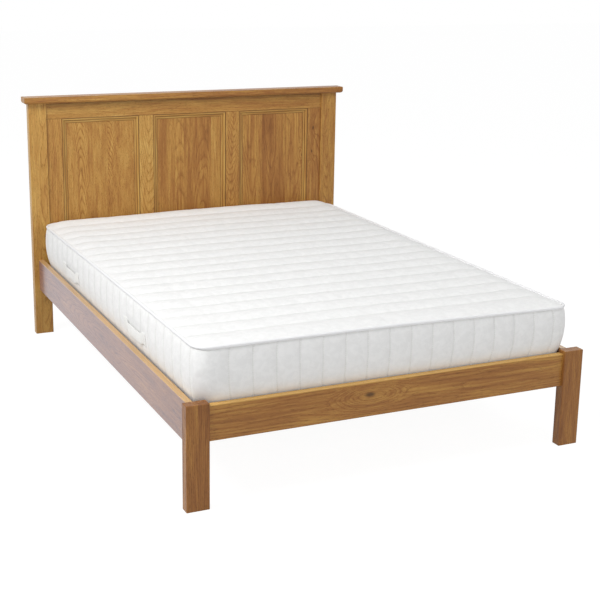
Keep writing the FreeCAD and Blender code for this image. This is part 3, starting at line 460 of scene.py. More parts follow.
# %% Boards
STAVES_LEFT = [(0.0, -0.40, 0.0, 0.7), (0.124, -0.092, 0.25, 2.0), (0.335, 0.13, 0.05, 3.1),
               (0.583, 0.02, 0.1, 4.6), (0.917, 0.3, 0.3, 6.0)]
STAVES_CENTRE = [(0.0, -0.3, -0.2, 0.4), (0.176, 0.2, -0.1, 1.9), (0.306, -0.045, 0.15, 3.2),
                 (0.422, 0.25, -0.05, 4.4), (0.570, 0.06, -0.3, 5.7), (0.792, 0.35, 0.45, 6.9)]
STAVES_RIGHT = [(0.0, -0.3, -0.1, 0.9), (0.068, -0.113, 0.3, 2.2), (0.350, -0.018, -0.35, 3.5),
                (0.543, 0.14, -0.1, 4.9), (0.685, 0.10, 0.15, 6.3), (0.932, 0.3, -0.2, 7.7)]
# side rails: a painted highlight along the top and a bluish sheen, a painted reflection of the
# studio
SIDE_RAIL = dict(along="Y", lit_top=True, ring=70.0, gloss=1.0, bluish_sheen=0.4)
# shade moves a board's colour along the ramp for its own tone; on the headboard it also falls from
# left to right, a painted shade for the light falling off away from the softbox
BOARDS = {
    "headboard_cap": dict(along="X", start=0.4, pith=0.2, painted_falloff=-0.18, shade=-0.02, bold=0.12),
    "headboard_post_left": dict(along="Z", start=0.2, depth=0.03, lean=0.06, shade=0.10,
                                staves=[(0.0, 0.3, 0.0, 0.0), (0.5, 0.02, 0.0, 3.0)]),
    "headboard_post_right": dict(along="Z", start=-0.8, depth=0.02, lean=0.10,
                                 staves=[(0.0, 0.0, -0.1, 0.0), (0.55, 0.25, 0.1, 4.0)]),
    "headboard_top_rail": dict(along="X", start=0.9, pith=0.16, painted_falloff=-0.14, shade=0.10, bold=0.12,
                               joints="XZ", painted_shade_under_cap=True),
    "headboard_bottom_rail": dict(along="X", start=1.9, joints="XZ"),
    "headboard_stile_left": dict(along="Z", start=1.1, pith=0.16, shade=0.03, joints="X"),
    "headboard_muntin_left": dict(along="Z", start=2.3, pith=0.01, lean=0.1, shade=0.13,
                                  joints="X"),
    "headboard_muntin_right": dict(along="Z", start=3.7, pith=0.004, depth=0.05, lean=0.10,
                                   ring=90.0, joints="X"),
    "headboard_stile_right": dict(along="Z", start=4.4, pith=0.04, shade=-0.10, joints="X",
                                  knots=[((0.611, 0.959, 0.850), 0.035),
                                         ((0.606, 0.959, 0.740), 0.03)]),
    "headboard_panel_left": dict(along="Z", start=0.3, depth=0.045, lean=-0.10, ring=90.0,
                                 shade=0.02, bold=0.19, staves=STAVES_LEFT),
    "headboard_panel_centre": dict(along="Z", start=1.7, depth=0.10, lean=-0.03, ring=80.0,
                                   shade=-0.04, bold=0.10, staves=STAVES_CENTRE),
    "headboard_panel_right": dict(along="Z", start=2.9, depth=0.10, lean=0.03, ring=80.0,
                                  shade=-0.10, bold=0.10, staves=STAVES_RIGHT,
                                  knots=[((0.560, 0.969, 0.724), 0.03)]),
    "foot_rail": dict(along="X", lit_top=True, start=0.5, depth=0.05, lean=0.02, shade=-0.10,
                      bold=0.10, knots=[((-0.098, -0.977, 0.291), 0.07)]),
    "foot_leg_left": dict(along="Z", start=0.7, shade=-0.24, bold=0.10,
                          staves=[(0.0, 0.3, 0.0, 0.5), (0.5, 0.2, 0.0, 3.1)]),
    "foot_leg_right": dict(along="Z", start=1.5, shade=-0.19, bold=0.10,
                           staves=[(0.0, 0.2, 0.0, 0.2), (0.5, 0.3, 0.0, 2.8)]),
    "side_rail_left": dict(SIDE_RAIL, start=0.1, depth=-0.05, shade=-0.28, bold=0.15),
    "side_rail_right": dict(SIDE_RAIL, start=2.6, shade=-0.1),
}
for board_name, settings in BOARDS.items():
    finish(board_name, lacquered_oak(board_name, **settings))
print("oak boards:", len(BOARDS))

# %% [markdown]
# ## The mouldings
# Each opening of the headboard is lined with a narrow moulding of two fillets and a round, cut
# from strips and mitred at the corners. The grain runs along each strip, so a point belongs to the
# top or bottom strip if it is nearer to that edge of the opening than to a side. Stain and a
# painted shade darken the quirks between the shapes, and the rounds are left at the strip's own
# colour: a ramp over the distance from the opening's edge draws both.

# %% Moulding finish
MOULDING = 0.020                # width of the strips


def moulding_oak(name, shade):
    """Oak for a mitred frame of moulding strips."""
    material, tree = new_material("oak, honey lacquer, " + name)
    low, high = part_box(name)
    here = add(tree, "TexCoord")
    parts = add(tree, "SeparateXYZ", {"Vector": here.outputs["Object"]})
    gaps = []
    for letter, n in (("X", 0), ("Z", 2)):
        off = off_middle(tree, parts, letter, (low[n] + high[n]) / 2)
        gaps.append(add(tree, "Math SUBTRACT", [(high[n] - low[n]) / 2, off]))
    from_edge = add(tree, "Math MINIMUM", [gaps[0], gaps[1]])
    level_strip = add(tree, "Math LESS_THAN", [gaps[1], gaps[0]])
    upright, level = [add(tree, "CombineXYZ", {"X": from_edge, "Y": parts.outputs["Y"],
                                               "Z": parts.outputs[grain]}) for grain in "ZX"]
    spot_in_log = add(tree, "Mix", {0: level_strip, 4: upright, 5: level}, data_type="VECTOR")
    centred = add(tree, "VectorMath SUBTRACT", [spot_in_log.outputs[1], (0.09, 0.99, low.x * 3)])
    figure = add(tree, "Group", {"Vector": centred, "Ring": 60.0}, node_tree=log_figure)
    level = add(tree, "Math MULTIPLY_ADD", [figure.outputs["Streaks"], 0.9, shade])
    colour = add(tree, "ValToRGB", {"Fac": level}, stops=OAK)
    # stain and painted shade: the ramp darkens the quirks between the shapes
    over = add(tree, "MapRange", {0: from_edge, 2: MOULDING})
    quirks = add(tree, "ValToRGB", {"Fac": over},
                 stops=[(0.0, grey(1.0)), (1.0, grey(1.0)), (0.12, grey(0.1)), (0.40, grey(0.0)),
                        (0.50, grey(0.8)), (0.60, grey(0.0)), (0.90, grey(0.15))])
    colour = towards(tree, colour, quirks, STAIN_AND_SHADE)
    oak_skin(tree, figure, colour, 0.3)
    return material


# the strips get a little darker from left to right, a painted shade for the light falling off away
# from the softbox
for name, shade in (("left", 0.22), ("centre", 0.18), ("right", 0.16)):
    finish("panel_moulding_" + name, moulding_oak("panel_moulding_" + name, shade))

# %% [markdown]
# ## The base and its fastenings
# Nobody looks at the slats for long, so they are sawn from pine: pale, with soft reddish rings
# far apart, planed and left bare. The dowels are turned beech, a plain pinkish tan with fine
# flecks. The bolts, studs, screws and hangers are steel with a bright zinc coat, which is a metal
# that is a little blue, a little dull and mottled with crystals of a few millimetres.

# %% Pine, beech and zinc
PINE = [(0.0, "a9743f"), (1.0, "efd3a0"), (0.35, "cfa068"), (0.7, "e3c088")]
PINE_ALONG = {"centre_beam": "Y", "centre_leg_foot": "Z", "centre_leg_head": "Z",
              "slat_cleat_left": "Y", "slat_cleat_right": "Y"}
PINE_ALONG.update({name: "X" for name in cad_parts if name.startswith("slat_")
                   and name[5:].isdigit()})


def bare_pine(name, along, number):
    """The material of one pine board."""
    material, tree = new_material("pine, planed and bare, " + name)
    place = board_place(tree, name, along, depth=0.04, start=number * 0.9,
                        pith=0.03 * math.sin(number * 2.4))[2]
    figure = add(tree, "Group", {"Vector": place, "Ring": 44.0}, node_tree=log_figure)
    level = -0.1
    for output, weight in (("Rings", 0.6), ("Patches", 0.4)):
        level = add(tree, "Math MULTIPLY_ADD", [figure.outputs[output], weight, level])
    colour = add(tree, "ValToRGB", {"Fac": level}, stops=PINE)
    relief = add(tree, "Bump", {"Height": figure.outputs["Streaks"], "Distance": 0.0003})
    skin = add(tree, "BsdfPrincipled",
               {"Base Color": colour, "Roughness": 0.65, "Normal": relief, "IOR": 1.5})
    add(tree, "OutputMaterial", {"Surface": skin})
    return material


for number, (name, along) in enumerate(sorted(PINE_ALONG.items())):
    finish(name, bare_pine(name, along, number))

beech, tree = new_material("beech, turned dowel")
where = add(tree, "TexCoord")
flecks = add(tree, "TexNoise", {"Vector": where.outputs["Object"], "Scale": 420.0, "Detail": 2.0})
colour = add(tree, "ValToRGB", {"Fac": flecks.outputs["Fac"]},
             stops=[(0.35, "b98a5e"), (0.6, "d9b088")])
skin = add(tree, "BsdfPrincipled", {"Base Color": colour, "Roughness": 0.6, "IOR": 1.5})
add(tree, "OutputMaterial", {"Surface": skin})

zinc, tree = new_material("steel, bright zinc plate")
where = add(tree, "TexCoord")
crystals = add(tree, "TexVoronoi", {"Vector": where.outputs["Object"], "Scale": 350.0})
colour = add(tree, "ValToRGB", {"Fac": crystals.outputs["Distance"]},
             stops=[(0.0, "b9bec4"), (0.8, "d6dadd")])
dull = add(tree, "MapRange", {0: crystals.outputs["Distance"], 3: 0.28, 4: 0.42})
skin = add(tree, "BsdfPrincipled", {"Base Color": colour, "Metallic": 1.0, "Roughness": dull})
add(tree, "OutputMaterial", {"Surface": skin})
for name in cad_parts:
    if name.endswith("dowels"):
        finish(name, beech)
    elif name.endswith(("_studs", "_washers", "_nuts", "_all", "_screws", "_bolts")) \
            or name.startswith("beam_hanger"):
        finish(name, zinc)
print("pine boards:", len(PINE_ALONG))

# %% [markdown]
# ## The mattress: measures
# The mattress is a quilted cover over springs and wadding: a top panel sewn across in even
# channels, a border sewn upright in narrower ones, and a tape binding the edge where they meet.
# It lies in the bay between the rails and bulges over them. Its heights are read from the CAD
# solid, and its plan and bulge repeat that solid's measures. The photograph shows that the tape
# isn't quite level: it hangs lowest at the corners by the headboard and at the right of the foot,
# so a small rise or fall is given for nine places round the plan, and the rest is worked out
# between them.

# %% Mattress measures
low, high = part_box("mattress")
tape_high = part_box("mattress_piping_top")[1]
HALF_W = 0.675                  # half the plan at the level of the rails
FOOT_Y, HEAD_Y = -0.952, 0.948
CORNER_R = 0.050
HEAD_CORNER_R = 0.070           # the corners by the headboard are pressed rounder
TAPE_R = 0.0052
TAPE_Z = tape_high.z - TAPE_R
CREST = high.z - TAPE_Z - TAPE_R        # how far the top stands above the tape
CHANNEL = 0.102                 # pitch of the channels in the top
CHANNELS = 16
SEAM_DEPTH = 0.0085
ROWS_PER_CHANNEL = 9
COLUMNS = 112
STEPS_ROUND_CORNER = 5
BORDER_SEAM_EVERY = 7           # steps from one upright seam to the next, 79 mm
END_SEAMS_FROM = 5              # the column of the first upright seam at the foot and the head
# border: height, how far it stands outside the plan, and the same at the head end
BORDER = [(0.3065, -0.012, -0.012), (0.320, -0.0068, -0.0069), (0.333, -0.003, -0.004),
          (0.345, 0.0, -0.002), (0.360, 0.003, -0.0004), (0.380, 0.0061, 0.0005),
          (0.400, 0.0081, 0.0004), (0.415, 0.009, 0.0), (0.430, 0.0093, -0.0006),
          (0.450, 0.0088, -0.0015), (0.470, 0.0075, -0.0021), (0.491, 0.004, -0.003)]
RAIL_TOP = 0.333
# rise of the tape in millimetres at x = left, middle, right for y = foot, middle, head
SAG = [[12, 10, -2], [6, 4, -3], [-5, 1, -6]]
first_seam = (FOOT_Y + HEAD_Y - CHANNEL * CHANNELS) / 2


def rise(x, y):
    """How far the top and its tape stand above the level height at a place."""
    across = np.interp(x, (-HALF_W, 0, HALF_W), (0, 1, 2))
    along = np.interp(y, (FOOT_Y, 0, HEAD_Y), (0, 1, 2))
    rows = [np.interp(across, (0, 1, 2), row) for row in SAG]
    return 0.001 * float(np.interp(along, (0, 1, 2), rows))


def channel_phase(y):
    """0 at a seam, 1 at the next one, and 0.5, as midway, past the last seams."""
    phase = (y - first_seam) / CHANNEL
    return phase - math.floor(phase) if -0.6 < phase < CHANNELS + 0.6 else 0.5


print("mattress solid:", [round(v, 3) for v in (*low, *high)], "tape", round(TAPE_Z, 4))

# %% [markdown]
# ## The mattress: a closed skin
# A mattress could be a scaled cube with a subdivision modifier, but then its seams would be
# nowhere in particular. A skin laid out like the real cover keeps every seam on a line of
# points. The top panel is a grid of rows and columns. Its edge is a loop, and the border goes
# down from that loop ring by ring, so the whole cover is one closed mesh with nothing to match up.

# %% Skin layout
step = CHANNEL / ROWS_PER_CHANNEL
straight = np.arange(first_seam - 20 * step, HEAD_Y, step)
straight = straight[(straight > FOOT_Y + CORNER_R - 0.006) & (straight < HEAD_Y - HEAD_CORNER_R)]
straight_share = (straight - straight[0]) / (straight[-1] - straight[0])
angles = [math.radians(90 - 90 * n / STEPS_ROUND_CORNER) for n in range(STEPS_ROUND_CORNER)]
ROWS = 2 * STEPS_ROUND_CORNER + len(straight)
seam_rows = {STEPS_ROUND_CORNER + int(np.argmin(abs(straight - (first_seam + CHANNEL * n))))
             for n in range(CHANNELS + 1)}


def spot(row, column, out, head_out):
    """A place in the plan: its row and column, and how far outside the plan its ring stands."""
    reach = HALF_W + out
    foot, head = FOOT_Y - out, HEAD_Y + head_out
    if row < STEPS_ROUND_CORNER:
        reach -= CORNER_R * (1 - math.cos(angles[row]))
        y = foot + CORNER_R * (1 - math.sin(angles[row]))
    elif row >= ROWS - STEPS_ROUND_CORNER:
        angle = angles[ROWS - 1 - row]
        reach -= HEAD_CORNER_R * (1 - math.cos(angle))
        y = head - HEAD_CORNER_R * (1 - math.sin(angle))
    else:
        way = straight_share[row - STEPS_ROUND_CORNER]
        y = (foot + CORNER_R) * (1 - way) + (head - HEAD_CORNER_R) * way
    return Vector((reach * (2 * column / COLUMNS - 1), y))


# the edge of the top panel, anticlockwise from the left of the foot end
LOOP = [(0, column) for column in range(COLUMNS)]
LOOP += [(row, COLUMNS) for row in range(ROWS - 1)]
LOOP += [(ROWS - 1, column) for column in range(COLUMNS, 0, -1)]
LOOP += [(row, 0) for row in range(ROWS - 1, 0, -1)]


def is_border_seam(row, column):
    if row in (0, ROWS - 1):
        return column % BORDER_SEAM_EVERY == END_SEAMS_FROM
    return STEPS_ROUND_CORNER <= row < ROWS - STEPS_ROUND_CORNER and \
        (row - STEPS_ROUND_CORNER) % BORDER_SEAM_EVERY == 0


seams = [n for n, place in enumerate(LOOP) if is_border_seam(*place)]
puffs = []                      # 0 at the upright seams and 1 midway between two of them
for n in range(len(LOOP)):
    before = max([s for s in seams if s <= n], default=seams[-1] - len(LOOP))
    after = min([s for s in seams if s > n], default=seams[0] + len(LOOP))
    puffs.append(1 - abs(2 * (n - before) / (after - before) - 1) ** 2.2)
print("rows", ROWS, "columns", COLUMNS, "round the edge", len(LOOP), "upright seams", len(seams))

# %% [markdown]
# ## The mattress: top, border and underside as one mesh
# Between two seams the cover starts as a low arch, as deep as the wadding lets the seam sink.
# The crown falls to the tape within a hand's width of the edge, and the rings of the border
# follow its bulge over the rails, with a softer arch between each two upright seams. Where hands
# have pulled at a strap the border is a little crumpled, and beneath a strap it is sewn flat, so
# there the skin is held too. Three attributes remember where the seams run, how far along them a
# point lies and where the edge is tucked under the tape: the fabric draws the seams and stitches
# from the first two, and from the third a painted shade along both sides of the tape.

# %% Build the skin
TOP_OUT, TOP_HEAD_OUT = 0.003, -0.004
CROWN_REACH = 0.085             # the crown falls over this width
EDGE_STRIP = 0.008              # flat strip beside the tape
SEAM_FROM, SEAM_FULL = 0.03, 0.16       # how far in a seam starts and is fully sunk
GATHER, GATHER_FULL = 0.010, 0.04
MOTTLE = 0.0016                 # small unevenness of the top
FULL_AT_HEAD = (0.003, 0.012, 0.011)    # extra height at the head: left, middle, right
PUFF = 0.006                    # how far the border stands out between its seams
END_PUFF = 0.6                  # share of it at the foot and the head
CALM_REACH = 0.12               # the long sides puff less this near to a corner
BORDER_RINGS = 17
UNDER = 0.020                   # how far the lowest ring is drawn in
STRAP_Z = 0.395
STRAP_Y = (-0.370, 0.463)
STRAP_LENGTH, STRAP_WIDTH = 0.235, 0.044
CRUMPLES = [(side * 0.684, y + end * STRAP_LENGTH * 0.5, STRAP_Z, 0.055, 0.0035)
            for side in (-1, 1) for y in STRAP_Y for end in (-1, 1)]
CRUMPLES += [(-0.60, -0.96, 0.45, 0.09, 0.003), (-0.66, -0.94, 0.42, 0.08, 0.003),
             (0.62, -0.95, 0.40, 0.07, 0.002)]


def top_point(row, column):
    x, y = spot(row, column, TOP_OUT, TOP_HEAD_OUT)
    reach = spot(row, COLUMNS, TOP_OUT, TOP_HEAD_OUT).x
    # the head end is pushed up against the headboard, so its edge is steeper
    inside = min(reach - abs(x), y - FOOT_Y + TOP_OUT, 2 * (HEAD_Y + TOP_HEAD_OUT - y))
    # rows are gathered towards the seams, where the cover turns most sharply
    y -= GATHER * math.sin(2 * math.pi * channel_phase(y)) * min(inside / GATHER_FULL, 1.0)
    crown = 1 - (1 - min(max(inside - EDGE_STRIP, 0) / CROWN_REACH, 1)) ** 2
    arch = abs(2 * channel_phase(y) - 1) ** 2.4
    sunk = SEAM_DEPTH * arch * min(inside / SEAM_FROM, 1.0) * crown ** 0.5
    sunk *= 0.5 + 0.5 * min(inside / SEAM_FULL, 1.0)
    uneven = MOTTLE * crown * noise.noise(Vector((x * 5, y * 6, 1.5)))
    # the head end is slept on least and stands a little fuller
    uneven += crown * max(0.0, y / HEAD_Y) * np.interp(x, (-HALF_W, 0, HALF_W), FULL_AT_HEAD)
    return (x, y, TAPE_Z + CREST * crown - sunk + uneven + rise(x, y) * (1 - 0.55 * crown))


def outward(row, column):
    """The way out of the plan at a place on its edge."""
    side = 1 if column else -1
    if row < STEPS_ROUND_CORNER:
        return Vector((side * math.cos(angles[row]), -math.sin(angles[row])))
    if row >= ROWS - STEPS_ROUND_CORNER:
        angle = angles[ROWS - 1 - row]
        return Vector((side * math.cos(angle), math.sin(angle)))
    return Vector((side, 0.0))


def under_strap(here, z):
    """Above 0 where a strap lies flat on the border, up to 1 in the middle of it."""
    if abs(here.x) < HALF_W - 0.02:
        return 0.0
    near = min(abs(here.y - y) for y in STRAP_Y) / (STRAP_LENGTH / 2 + 0.012)
    return max(0.0, 1 - max(near, abs(z - STRAP_Z + 0.004) / (STRAP_WIDTH / 2 + 0.014)))


def border_point(number, row, column, z, out, head_out):
    """A point of the border, with its arch between seams and any crumple near it."""
    share = max(0.0, min(1.0, (z - RAIL_TOP) / (TAPE_Z - RAIL_TOP)))
    here = spot(row, column, out, head_out)
    uneven = 1 + 0.35 * noise.noise(Vector((number * 0.21, 0.5, z * 4)))
    away = PUFF * puffs[number] * math.sin(math.pi * share) ** 0.7 * uneven
    if row in (0, ROWS - 1):
        away *= END_PUFF
    else:
        calm = min(HEAD_Y - here.y, here.y - FOOT_Y) / CALM_REACH
        away *= max(0.25, min(1.0, calm))
    for *place, reach, height in CRUMPLES:
        far = (Vector((*here, z)) - Vector(place)).length / reach
        if far < 1:
            away += height * (1 - far) * noise.noise(Vector((*here, z)) * 55) * share ** 0.3
    away *= 1 - 0.8 * min(1.0, 3 * under_strap(here, z))
    here = here + outward(row, column) * away
    return (*here, z + share * rise(*here))


heights, outs, head_outs = zip(*BORDER)
levels = [(z, np.interp(z, heights, outs), np.interp(z, heights, head_outs))
          for z in np.linspace(heights[-1], heights[0], BORDER_RINGS)]
rings = [(TAPE_Z, -0.003, -0.010)] + levels + [(low.z, -UNDER, -UNDER)]

points, faces, cloth_uv, held = [], [], [], set()
# the third list marks the points on both sides of the tape, where the fabric paints a shade
seam_mark, run, tape_shade = [], [], []
for row in range(ROWS):
    for column in range(COLUMNS + 1):
        points.append(top_point(row, column))
        sewn = row in seam_rows and 0 < column < COLUMNS
        seam_mark.append(1.0 if sewn else 0.0)
        run.append(points[-1][0])
        tape_shade.append(1.0 if row in (0, ROWS - 1) or column in (0, COLUMNS) else 0.0)
        if sewn or row in (0, ROWS - 1) or column in (0, COLUMNS):
            held.add(len(points) - 1)
for row in range(ROWS - 1):
    for column in range(COLUMNS):
        a = row * (COLUMNS + 1) + column
        faces.append((a, a + 1, a + COLUMNS + 2, a + COLUMNS + 1))
        cloth_uv.append([points[corner][:2] for corner in faces[-1]])

along = [0.0]
for n in range(len(LOOP)):
    gap = spot(*LOOP[(n + 1) % len(LOOP)], 0, 0) - spot(*LOOP[n], 0, 0)
    along.append(along[-1] + gap.length)
above = [row * (COLUMNS + 1) + column for row, column in LOOP]
for number, (z, out, head_out) in enumerate(rings):
    ring = []
    for n, (row, column) in enumerate(LOOP):
        ring.append(len(points))
        points.append(border_point(n, row, column, z, out, head_out))
        seam_mark.append(-1.0 if n in seams else 0.0)
        run.append(z)
        tape_shade.append(1.0 if number < 2 else 0.0)
        covered = under_strap(Vector(points[-1][:2]), z) > 0
        if number < 2 or number > len(rings) - 4 or n in seams or covered:
            held.add(ring[-1])
    for n in range(len(LOOP)):
        m = (n + 1) % len(LOOP)
        faces.append((above[n], ring[n], ring[m], above[m]))
        up = points[above[n]][2]
        cloth_uv.append([(along[n], up), (along[n], z), (along[n + 1], z), (along[n + 1], up)])
    above = ring
print("points", len(points), "faces", len(faces), "held by seams", len(held))

# %% [markdown]
# ## The mattress: letting the cloth settle
# Wadding presses the cover outwards, and the sewn lines hold it back. The cloth simulation does
# just that: pressure from inside, a border cut a percent too long so that it puckers between
# its seams, a top cut nearly true, and no gravity, because the springs carry it. Twenty steps
# are enough. No point may end further than a centimetre from where it began, so the mattress
# keeps its size.


# %% Inflate the cover
def only(piece):
    """Select one object and make it active, with nothing else selected."""
    bpy.ops.object.select_all(action="DESELECT")
    piece.select_set(True)
    bpy.context.view_layer.objects.active = piece


def apply_modifier(piece, name, kind, **settings):
    """Add a modifier, set it and apply it."""
    only(piece)
    modifier = piece.modifiers.new(name, kind)
    set_all(modifier, **settings)
    bpy.ops.object.modifier_apply(modifier=name)


mesh = bpy.data.meshes.new("mattress_cover")
mesh.from_pydata(points, [], faces)
mesh.uv_layers.new(name="cloth").data.foreach_set(
    "uv", [value for corners in cloth_uv for corner in corners for value in corner])
for name, values in (("seam", seam_mark), ("run", run), ("tape_shade", tape_shade)):
    mesh.attributes.new(name, "FLOAT", "POINT").data.foreach_set("value", values)
cover = bpy.data.objects.new("mattress_cover", mesh)
scene.collection.objects.link(cover)
cover.vertex_groups.new(name="sewn").add(sorted(held), 1.0, "REPLACE")
border = list(range(ROWS * (COLUMNS + 1), len(points)))
cover.vertex_groups.new(name="slack").add(border, 1.0, "REPLACE")

LIMIT = 0.010
FRAMES = 20
started = time.time()
only(cover)
cloth = cover.modifiers.new("cloth", "CLOTH")
set_all(cloth.settings, quality=3, mass=0.15, tension_stiffness=20, compression_stiffness=20,
        shear_stiffness=8, bending_stiffness=0.5, use_pressure=True,
        uniform_pressure_force=4, vertex_group_mass="sewn", vertex_group_shrink="slack",
        shrink_min=-0.003, shrink_max=-0.012)
cloth.settings.effector_weights.gravity = 0
cloth.collision_settings.use_collision = False
cloth.point_cache.frame_end = FRAMES
for number in range(1, FRAMES + 1):
    scene.frame_set(number)
settled = cover.evaluated_get(bpy.context.evaluated_depsgraph_get()).data
moved = np.array([vertex.co for vertex in settled.vertices]) - np.array(points)
cover.modifiers.remove(cloth)
scene.frame_set(1)
length = np.linalg.norm(moved, axis=1)
moved *= np.minimum(1.0, LIMIT / np.maximum(length, 1e-9))[:, None]
mesh.vertices.foreach_set("co", (np.array(points) + moved).ravel())
print("cloth moved by up to", round(float(length.max()), 4), "m, on average",
      round(float(length.mean()), 5), "m, in", round(time.time() - started), "s")
apply_modifier(cover, "subdivision", "SUBSURF", levels=1, render_levels=1)
# the underside lies flat on the slats: the open edge is drawn in and closed
only(cover)
bpy.ops.object.mode_set(mode="EDIT")
bpy.ops.mesh.select_mode(type="EDGE")
bpy.ops.mesh.select_all(action="DESELECT")
bpy.ops.mesh.select_non_manifold()
bpy.ops.mesh.edge_face_add()
bpy.ops.object.mode_set(mode="OBJECT")
bpy.ops.object.shade_smooth()
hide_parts("mattress")
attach(cover, "mattress")

# %% [markdown]
# ## The tape edges
# A strip of woven tape is sewn round the edge of the top panel, and another round the underside.
# It rolls into a soft cord. It could be a torus pulled into shape, but a curve with a round
# bevel is simpler: its points are the edge of the cover itself, so the tape follows every dip.
# Where a seam of the top panel runs under the tape, the tape is drawn in a little. The curve is
# turned into a mesh at the end, because a finished piece is a mesh.


# %% Tape edges
DRAWN_IN, DRAWN_DOWN = 0.0012, 0.0007   # at the seams of the top


def tape_edge(name, z, out, head_out, radius, sways):
    """A round tape along the edge of the mattress at a height."""
    curve = bpy.data.curves.new(name, "CURVE")
    curve.dimensions = "3D"
    curve.bevel_depth = radius
    curve.bevel_resolution = 3
    spline = curve.splines.new("POLY")
    spline.points.add(len(LOOP) - 1)
    spline.use_cyclic_u = True
    for point, (row, column) in zip(spline.points, LOOP):
        here = spot(row, column, out, head_out)
        drawn = abs(2 * channel_phase(here.y) - 1) ** 3 if row not in (0, ROWS - 1) else 0.0
        drawn += 0.3 * noise.noise(Vector((*here, z)) * 9)
        here -= outward(row, column) * DRAWN_IN * drawn * sways
        point.co = (*here, z + sways * (rise(*here) - DRAWN_DOWN * drawn), 1.0)
    piece = bpy.data.objects.new(name, curve)
    scene.collection.objects.link(piece)
    only(piece)
    bpy.ops.object.convert(target="MESH")
    bpy.ops.object.shade_smooth()
    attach(piece, "mattress")
    return piece


top_tape = tape_edge("mattress_tape_top", TAPE_Z, 0.0030, -0.0048, TAPE_R, 1.0)
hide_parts("mattress_piping_top")
bottom_low, bottom_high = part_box("mattress_piping_bottom")
bottom_out = bottom_high.x - TAPE_R - HALF_W
bottom_tape = tape_edge("mattress_tape_bottom", (bottom_low.z + bottom_high.z) / 2, bottom_out,
                        bottom_out, TAPE_R, 0.0)
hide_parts("mattress_piping_bottom")
print("tape points round the mattress:", len(LOOP))

# %% [markdown]
# ## The straps
# Two woven straps on each side let two people turn the mattress. Each is sewn down flat at its
# ends and stands off the border between them, so a hand goes behind it. It starts as a flat grid.
# Its points are laid on the border, which a ray finds even where the cloth has puffed out, and
# are then bowed away from it. Solidify gives the webbing its thickness and a bevel rounds its
# edges.

# %% Straps
STRAP_THICK = 0.0022
STRAP_SEWN = 0.030              # length of the sewn end
STRAP_BOW = 0.0075              # how far its middle droops, and about how far it stands off
STRAP_GAP, CURL, CREASE = 0.0006, 0.0010, 0.0008


def strap(name, side, middle_y):
    """A strap on the side of the mattress, at x below 0 for side -1."""
    bpy.ops.mesh.primitive_grid_add(x_subdivisions=56, y_subdivisions=8, size=1)
    piece = bpy.context.object
    piece.name = name
    for vertex in piece.data.vertices:
        u, v = vertex.co.x, vertex.co.y
        free = min(1.0, max(0.0, (0.5 - abs(u)) * STRAP_LENGTH / STRAP_SEWN - 0.9))
        bow = STRAP_BOW * math.sin(free * math.pi / 2) ** 2
        y = middle_y + side * u * STRAP_LENGTH
        z = STRAP_Z + v * STRAP_WIDTH * (1 - 0.16 * bow / STRAP_BOW) - bow
        # the edges of the webbing curl a little towards the border
        lift = bow * (0.75 - 0.3 * v) - CURL * abs(2 * v) ** 3
        start = Vector((side * (HALF_W + 0.1), y, z))
        place = cover.ray_cast(start, Vector((-side, 0, 0)))[1]
        crease = CREASE * noise.noise(Vector((u * 22, v * 3, side + middle_y)))
        vertex.co = (place.x + side * (STRAP_GAP + lift + crease), y, z)
    only(piece)
    bpy.ops.object.mode_set(mode="EDIT")
    bpy.ops.mesh.select_all(action="SELECT")
    bpy.ops.mesh.normals_make_consistent(inside=False)
    bpy.ops.object.mode_set(mode="OBJECT")
    if piece.data.polygons[0].normal.x * side < 0:
        piece.data.flip_normals()
    apply_modifier(piece, "thickness", "SOLIDIFY", thickness=STRAP_THICK, offset=1.0)
    apply_modifier(piece, "edges", "BEVEL", width=0.0007, segments=2, limit_method="ANGLE")
    bpy.ops.object.shade_smooth_by_angle(angle=math.radians(40))
    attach(piece, "mattress")
    return piece


straps = []
for side, side_name in ((-1, "left"), (1, "right")):
    for middle_y, end_name in zip(STRAP_Y, ("foot", "head")):
        straps.append(strap("mattress_strap_%s_%s" % (side_name, end_name), side, middle_y))
        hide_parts("mattress_handle_%s_%s" % (side_name, end_name))
print("straps:", [s.name for s in straps])

# %% [markdown]
# ## Fabrics
# The cover is a knitted cotton ticking in off-white, with a mottled damask figure knitted in and
# no dye: what shows is the way its loops catch the light. The wales of the knit are a little over
# a millimetre apart, which is drawn as three so that it shows. The upright seams of the border
# are sewn with a thread a little greyer than the cloth, in stitches of seven millimetres, a
# little longer than real ones so that they show. The tape is a flat polyester weave, smoother
# and whiter. The straps are thick webbing, woven in rows that slant to and fro.


# %% Fabric materials
def sheen_cloth(tree, colour, roughness, height, distance):
    """A soft cloth shader over a height pattern."""
    relief = add(tree, "Bump", {"Height": height, "Distance": distance, "Strength": 1.0})
    skin = add(tree, "BsdfPrincipled", {
        "Base Color": colour, "Roughness": roughness, "Normal": relief, "Sheen Weight": 0.15,
        "Sheen Roughness": 0.4, "Specular IOR Level": 0.2})
    add(tree, "OutputMaterial", {"Surface": skin})


